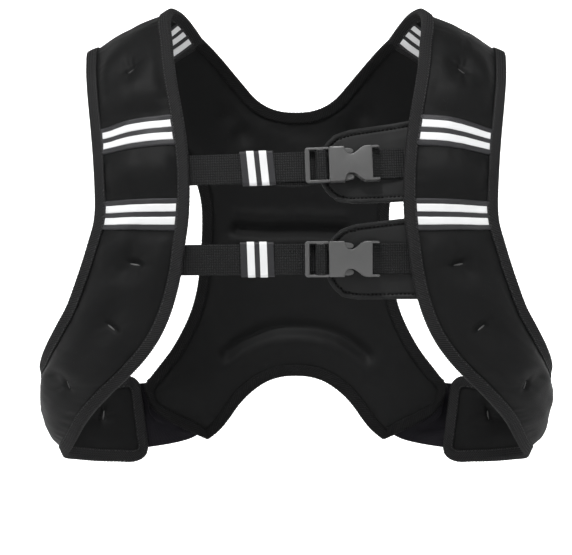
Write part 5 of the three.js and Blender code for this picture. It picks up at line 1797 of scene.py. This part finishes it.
@dataclass
class Webbing:
    """A length of webbing, swept along the middle line of its solid and woven in relief."""

    frame: StrapFrame
    word: str
    step: float = 0.42 * MM
    relief: float = 0.26 * MM
    warp: float = 2.1 * MM
    weft: float = 1.9 * MM
    sag: float = 0.0
    steep: float = 1.2 * MM
    wide: float = 1.6 * MM

    def build(self) -> Piece:
        """Models the webbing.

        Returns:
            The webbing's object.
        """
        node = f"{self.frame.level}_webbing_{self.word}"
        route = self._route(node)
        if self.word == "long":
            self._open_slot(route)
        low, high = self.frame.box(node)
        half = (high[1] - low[1]) / 2
        at = lengths_along(route)
        to = even(at[-1], self.step)
        line = np.stack([np.interp(to, at, route[:, k]) for k in (0, 1)], 1)
        line = eased(line, 5)
        tangent = unit(np.gradient(line, axis=0))
        normal = np.stack([-tangent[:, 1], tangent[:, 0]], 1)
        v = np.linspace(-half, half, round(2 * half / self.step))
        edge = np.sqrt(np.clip(1 - (np.abs(v) / half) ** 14, 0.05, 1))
        u = to[:, None] + 0 * v[None]
        across = v[None] + 0 * to[:, None]
        weave = np.sin(math.pi * u / self.weft) * np.sin(math.pi * across / self.warp)
        bump = np.sqrt(np.abs(weave)) + 0.25 * (weave > 0)
        rise = WEBBING_THICKNESS / 2 * edge[None] + self.relief * (bump - 0.6)
        wave = 0.35 * MM * np.sin(u / 0.031 + 1.3) * np.sin(across / half * 1.4)
        drop = -self.sag * np.sin(np.clip((to - to[-1] * 0.62) / (to[-1] * 0.25), 0, 1) * math.pi)
        faces = []
        for sign in (1, -1):
            offset = sign * rise + wave
            local = np.stack([
                line[:, 0, None] + normal[:, 0, None] * offset,
                across + drop[:, None] + (low[1] + high[1]) / 2,
                line[:, 1, None] + normal[:, 1, None] * offset,
            ], -1)
            faces.append(self.frame.place(local))
        piece = MeshMaker.closed_sheet(f"woven_{node}", faces[0], faces[1], np.stack([u, across], -1))
        self.frame.shop.dress(piece, WEBBING, [node])
        return piece

    def _open_slot(self, route: Array) -> None:
        """Lets the webbing rise steeply beside the adjuster's bar and lie wide over it."""
        foot = int(np.argmax(np.diff(route[:, 1])))
        route[foot, 0] = route[foot + 1, 0] - self.steep
        route[foot + 2:foot + 5, 0] += self.wide

    def _route(self, node: str) -> Array:
        """Middle line of the webbing's solid, along the strap and towards the front."""
        data = self.frame.shop.nodes[node].data
        side = [p for p in data.polygons if np.dot(self.frame.up, p.normal) > 0.99]
        mesh = bmesh.new()
        for polygon in side:
            mesh.faces.new([mesh.verts.new(data.vertices[k].co) for k in polygon.vertices])
        bmesh.ops.remove_doubles(mesh, verts=mesh.verts, dist=WELD)
        mesh.verts.index_update()
        corners = [tuple(v.index for v in face.verts) for face in mesh.faces]
        points = np.array([v.co[:] for v in mesh.verts])
        mesh.free()
        loop = ReadSheet.rim_of(corners)
        ring = (points[np.array(loop)] - self.frame.origin) @ self.frame.axes.T
        ring = ring[:, [0, 2]]
        count = len(ring)
        gaps = np.linalg.norm(ring - np.roll(ring, -1, axis=0), axis=1)
        ends = sorted(range(count), key=lambda k: abs(gaps[k] - WEBBING_THICKNESS))
        outer = max(ends[:4], key=lambda k: abs(ring[k, 0]))
        order = [(outer + 1 + k) % count for k in range(count)]
        half = count // 2
        ones = ring[np.array(order[:half])]
        others = ring[np.array(order[half:][::-1])]
        return (ones + others) / 2


@dataclass
class ChestStrap:
    """A chest strap with its webbing, keeper, buckle and flap."""

    shop: Workshop
    level: str
    tail_sag: float
    lean: float
    flat_top: float = 14 * MM
    top_slope: float = 0.115
    keeper_back: float = 0.6 * MM
    keeper_heights: Pair = (-1.1 * MM, 0.1 * MM)
    stripe_heights: Pair = (0.05 * MM, 0.5 * MM)
    stitch_pitch: float = 3.3 * MM

    def build(self) -> None:
        """Models the strap."""
        frame = StrapFrame(self.shop, self.level)
        Webbing(frame, "long", sag=self.tail_sag).build()
        Webbing(frame, "short").build()
        self._keeper(frame)
        Buckle(frame).build()
        self._flap()

    def _keeper(self, frame: StrapFrame) -> None:
        """Band that loops round both layers of the webbing, with two stripes."""
        node = f"{self.level}_keeper"
        low, high = frame.box(node)
        path = even_path(rounded_box(low[1], high[1], low[2], high[2], 1.9 * MM), 0.7 * MM, True)
        edges = (low[0], high[0])
        ring = self._band(f"looped_{node}", frame, path, edges, self.keeper_heights, True)
        self.shop.dress(ring, BAND, [node])
        for number in (1, 2):
            stripe = f"{node}_stripe_{number}"
            first, last = frame.box(stripe)
            front = path[path[:, 1] > (low[2] + high[2]) / 2 + 0.3 * MM]
            start = int(np.argmax(np.linalg.norm(front - np.roll(front, 1, axis=0), axis=1)))
            front = np.roll(front, -start, axis=0)
            across = (first[0], last[0])
            name = f"reflective_{stripe}"
            wrap = self._band(name, frame, front, across, self.stripe_heights, False)
            self.shop.dress(wrap, STRIPE, [stripe])

    def _band(
        self, name: str, frame: StrapFrame, path: Array, across: tuple, levels: tuple, closed: bool
    ) -> Piece:
        """A flat band with rounded edges, laid along a path round the webbing.

        Args:
            name: the piece's name.
            frame: the strap's frame.
            path: places in the plane of up and front.
            across: the band's two edges along the strap.
            levels: its inner and outer height over the path.
            closed: whether the path closes on itself.

        Returns:
            The band's object.
        """
        if closed:
            run = np.roll(path, -1, axis=0) - np.roll(path, 1, axis=0)
        else:
            run = np.gradient(path, axis=0)
        out = unit(np.stack([run[:, 1], -run[:, 0]], 1))
        bend = min(0.35 * MM, (levels[1] - levels[0]) / 2.2)
        section = even_path(rounded_box(*across, *levels, bend, 3), 0.8 * MM, True)
        if len(section) % 2:
            section = section[:-1]
        places = path[:, None, :] + out[:, None, :] * section[None, :, 1, None]
        along = section[None, :, 0] - self.lean * places[:, :, 0] - self.keeper_back
        points = frame.place(np.concatenate([along[..., None], places], -1))
        at = lengths_along(path)[:, None] + 0 * along
        uv = np.stack([along, at], -1)
        if not closed:
            return MeshMaker.swept(name, points, uv)
        faces = MeshMaker.quads(len(path) + 1, len(section), wrap=True) % (len(path) * len(section))
        piece = MeshMaker.make(name, points, faces, uv)
        MeshMaker.face_out(piece)
        return piece

    def _flap(self) -> None:
        """Padded flap behind the buckle, with a rolled edge and a row of stitches."""
        node = f"{self.level}_buckle_flap"
        grid = SheetGrid(self.shop.sheet(node), FLAP_COLUMNS, lambda p: -p[0] * 10 - p[2])
        rows_at = lengths_along(grid.middle[:, FLAP_COLUMNS // 2])
        columns_at = lengths_along(grid.middle[0])
        fine = grid.fine(rows_at, columns_at, FINE_STEP)
        for surface in fine.values():
            self._raise_top(surface.points)
        gap = unit(fine[Side.OUTER].points - fine[Side.INNER].points)
        rim = open_rim(fine[Side.OUTER].points)
        rim_at = lengths_along(rim)
        faces = {}
        for side, surface in fine.items():
            shape = surface.points.shape[:2]
            edge, number = nearest_number(surface.points.reshape(-1, 3), rim)
            edge = edge.reshape(shape)
            beads = np.cos(2 * math.pi * rim_at[number].reshape(shape) / self.stitch_pitch)
            s, t = surface.lengths()
            bead = 0.9 * MM * np.sqrt(np.clip(1 - ((edge - 2.0 * MM) / (2.0 * MM)) ** 2, 0, 1))
            bead *= 1 + 0.3 * beads
            groove = 0.7 * MM * bell(edge - 4.4 * MM, 1.0 * MM)
            pad = 0.7 * MM * ease(edge, 5 * MM, 16 * MM)
            soft = 0.25 * MM * Ripples(90 + side.value, 0.02, 0.05)(s, t) * ease(edge, 5 * MM, 12 * MM)
            rise = (bead - groove + pad + soft) if side is Side.OUTER else (bead * 0.6 + pad * 0.5)
            faces[side] = surface.points + gap * side.value * rise[..., None]
        uv = np.stack(fine[Side.OUTER].lengths(), -1)
        piece = MeshMaker.closed_sheet(f"padded_{node}", faces[Side.OUTER], faces[Side.INNER], uv)
        self.shop.dress(piece, FLAP_JERSEY, [node])
        self._stitch_flap(node, faces[Side.OUTER], gap)

    def _raise_top(self, points: Array) -> None:
        """Lets the flap's top edge rise towards the panel that it is sewn to."""
        x, z = points[..., 0], points[..., 2]
        past = np.maximum(x - x.min() - self.flat_top, 0)
        points[..., 2] += self.top_slope * past * ease(z, z.min() + 0.35 * np.ptp(z), z.max() - 4 * MM)

    def _stitch_flap(self, node: str, face: Array, gap: Array) -> None:
        """Row of stitches in the groove inside the rolled edge."""
        path = open_rim(face)
        at = lengths_along(path)
        keep = np.concatenate([[True], np.diff(at) > 1e-7])
        stations = np.arange(0.5, at[-1] / self.stitch_pitch - 0.5) * self.stitch_pitch
        rim = resample(path[keep], at[keep], stations)
        centre = face[face.shape[0] // 2, face.shape[1] // 2]
        tangent = unit(np.gradient(rim, axis=0))
        up = unit(gap.mean((0, 1)))
        inward = unit(np.cross(tangent, up))
        inward *= np.sign(((centre - rim) * inward).sum(-1))[:, None]
        places = nearest_on(tree_of(face), rim + inward * 4.4 * MM) + up * 0.4 * MM
        ups = np.tile(up, (len(places), 1))
        stitch = Stitches(2.3 * MM, 1.7 * MM, 1.0 * MM)
        piece = stitch.sew(f"stitches_{node}", places, tangent, ups)
        self.shop.dress(piece, FLAP_AND_SHADED_THREAD)


@dataclass
class SideElastic:
    """Elastic between a flank and a wing of the back panel."""

    shop: Workshop
    hand: Hand

    def build(self) -> Piece:
        """Models the stretched elastic.

        Returns:
            The elastic's object.
        """
        node = f"side_elastic_{self.hand.word}"
        grid = SheetGrid(self.shop.sheet(node), ELASTIC_COLUMNS, lambda p: abs(p[0]) * 10 + p[2])
        rows_at = lengths_along(grid.middle[:, 1])
        columns_at = lengths_along(grid.middle[1])
        fine = grid.fine(rows_at, columns_at, FINE_STEP)
        gap = unit(fine[Side.OUTER].points - fine[Side.INNER].points)
        s, t = fine[Side.OUTER].lengths()
        wave = 0.35 * MM * Ripples(55 + self.hand.value, 0.012, 0.03)(s, t)
        faces = [surface.points + gap * wave[..., None] for surface in fine.values()]
        piece = MeshMaker.closed_sheet(f"knitted_{node}", *faces, np.stack([s, t], -1))
        self.shop.dress(piece, ELASTIC, [node])
        return piece


@dataclass
class Studio:
    """Floor, backdrop, soft light and the camera at the photo's angle."""

    floor: float = -0.56
    radius: float = 7.0
    lens: float = 162.9
    distance: float = 2.2
    height: float = -0.201
    shift: float = -0.0085

    def build(self) -> None:
        """Sets everything up."""
        self._camera()
        self._backdrop()
        self._world()
        self._soft_box("key_light", (-0.5, -1.7, 3.1), (0, 0, -0.15), 1.4, 150)
        self._soft_box("fill_light", (2.5, -2.0, 0.8), (0, 0, -0.2), 1.2, 22)
        self._soft_box("left_light", (-2.6, -1.2, 0.6), (0, 0, -0.2), 1.2, 20)
        scene = bpy.context.scene
        scene.view_settings.view_transform = "Standard"
        scene.view_settings.look = "None"

    def _camera(self) -> None:
        """Level camera in front of the vest."""
        data = bpy.data.cameras.new("camera")
        data.lens = self.lens
        data.sensor_width = 36
        camera = link("camera", data)
        camera.location = (self.shift, -self.distance, self.height)
        camera.rotation_euler = (math.pi / 2, 0, 0)
        bpy.context.scene.camera = camera

    def _backdrop(self) -> None:
        """Round pale floor that curves up all round, spun from its profile."""
        bend = 1.6
        profile = [(0.0, 0.0), (self.radius - bend, 0.0)]
        for k in range(1, 13):
            a = math.radians(90 * k / 12)
            profile.append((self.radius - bend + bend * math.sin(a), bend - bend * math.cos(a)))
        profile.append((self.radius, 4.0))
        mesh = bpy.data.meshes.new("backdrop")
        points = [(x, 0, z + self.floor) for x, z in profile]
        mesh.from_pydata(points, [(k, k + 1) for k in range(len(points) - 1)], [])
        floor = link("backdrop", mesh)
        select(floor)
        bpy.ops.object.mode_set(mode="EDIT")
        bpy.ops.mesh.select_all(action="SELECT")
        bpy.ops.mesh.spin(steps=64, angle=2 * math.pi, center=(0, 0, 0), axis=(0, 0, 1))
        bpy.ops.mesh.select_all(action="SELECT")
        bpy.ops.mesh.remove_doubles(threshold=1e-4)
        bpy.ops.mesh.normals_make_consistent(inside=False)
        bpy.ops.object.mode_set(mode="OBJECT")
        smooth_faces(floor.data)
        material = bpy.data.materials.new("pale_backdrop")
        material.use_nodes = True
        shader = material.node_tree.nodes["Principled BSDF"]
        shader.inputs["Base Color"].default_value = (0.88, 0.88, 0.88, 1)
        shader.inputs["Roughness"].default_value = 0.9
        shader.inputs["Emission Color"].default_value = (1, 1, 1, 1)
        sheet = NodeSheet(material.node_tree)
        places = sheet.add("ShaderNodeTexCoord").outputs
        depth = sheet.add("ShaderNodeSeparateXYZ", None, Vector=places["Object"]).outputs["Y"]
        reach = {"Value": depth, "From_Min": 0.6, "From_Max": 2.6}
        behind = sheet.add("ShaderNodeMapRange", {"clamp": True}, **reach)
        sheet.tree.links.new(behind.outputs["Result"], shader.inputs["Emission Strength"])
        floor.data.materials.append(material)

    @staticmethod
    def _world() -> None:
        """Even pale light from all round."""
        world = bpy.data.worlds.new("studio")
        world.use_nodes = True
        world.node_tree.nodes["Background"].inputs["Color"].default_value = (1, 1, 1, 1)
        world.node_tree.nodes["Background"].inputs["Strength"].default_value = 0.12
        bpy.context.scene.world = world

    @staticmethod
    def _soft_box(name: str, place: tuple, target: tuple, size: float, power: float) -> None:
        """One large soft light, turned to a point."""
        data = bpy.data.lights.new(name, "AREA")
        data.size = size
        data.energy = power
        lamp = link(name, data)
        lamp.location = place
        lamp.rotation_euler = (Vector(target) - Vector(place)).to_track_quat("-Z", "Y").to_euler()


def main() -> None:
    """Builds the vest's looks in order."""
    logging.basicConfig(level=logging.INFO, format="%(name)s: %(message)s")
    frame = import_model()
    Studio().build()
    shop = Workshop(frame)
    back = BackPanel(shop)
    back.build()
    back.bindings()
    for hand in Hand:
        panel = FrontPanel(shop, hand)
        panel.build()
        panel.add_strips()
        ShoulderSeam(panel, back).build()
        EdgeBinding(shop, f"front_binding_{hand.word}", panel.rim, panel.trees).build()
        SideElastic(shop, hand).build()
    ChestStrap(shop, "upper", tail_sag=4 * MM, lean=0.07).build()
    ChestStrap(shop, "lower", tail_sag=0.0, lean=0.03).build()
    LOG.info("%d pieces", shop.count)


if __name__ == "__main__":
    main()
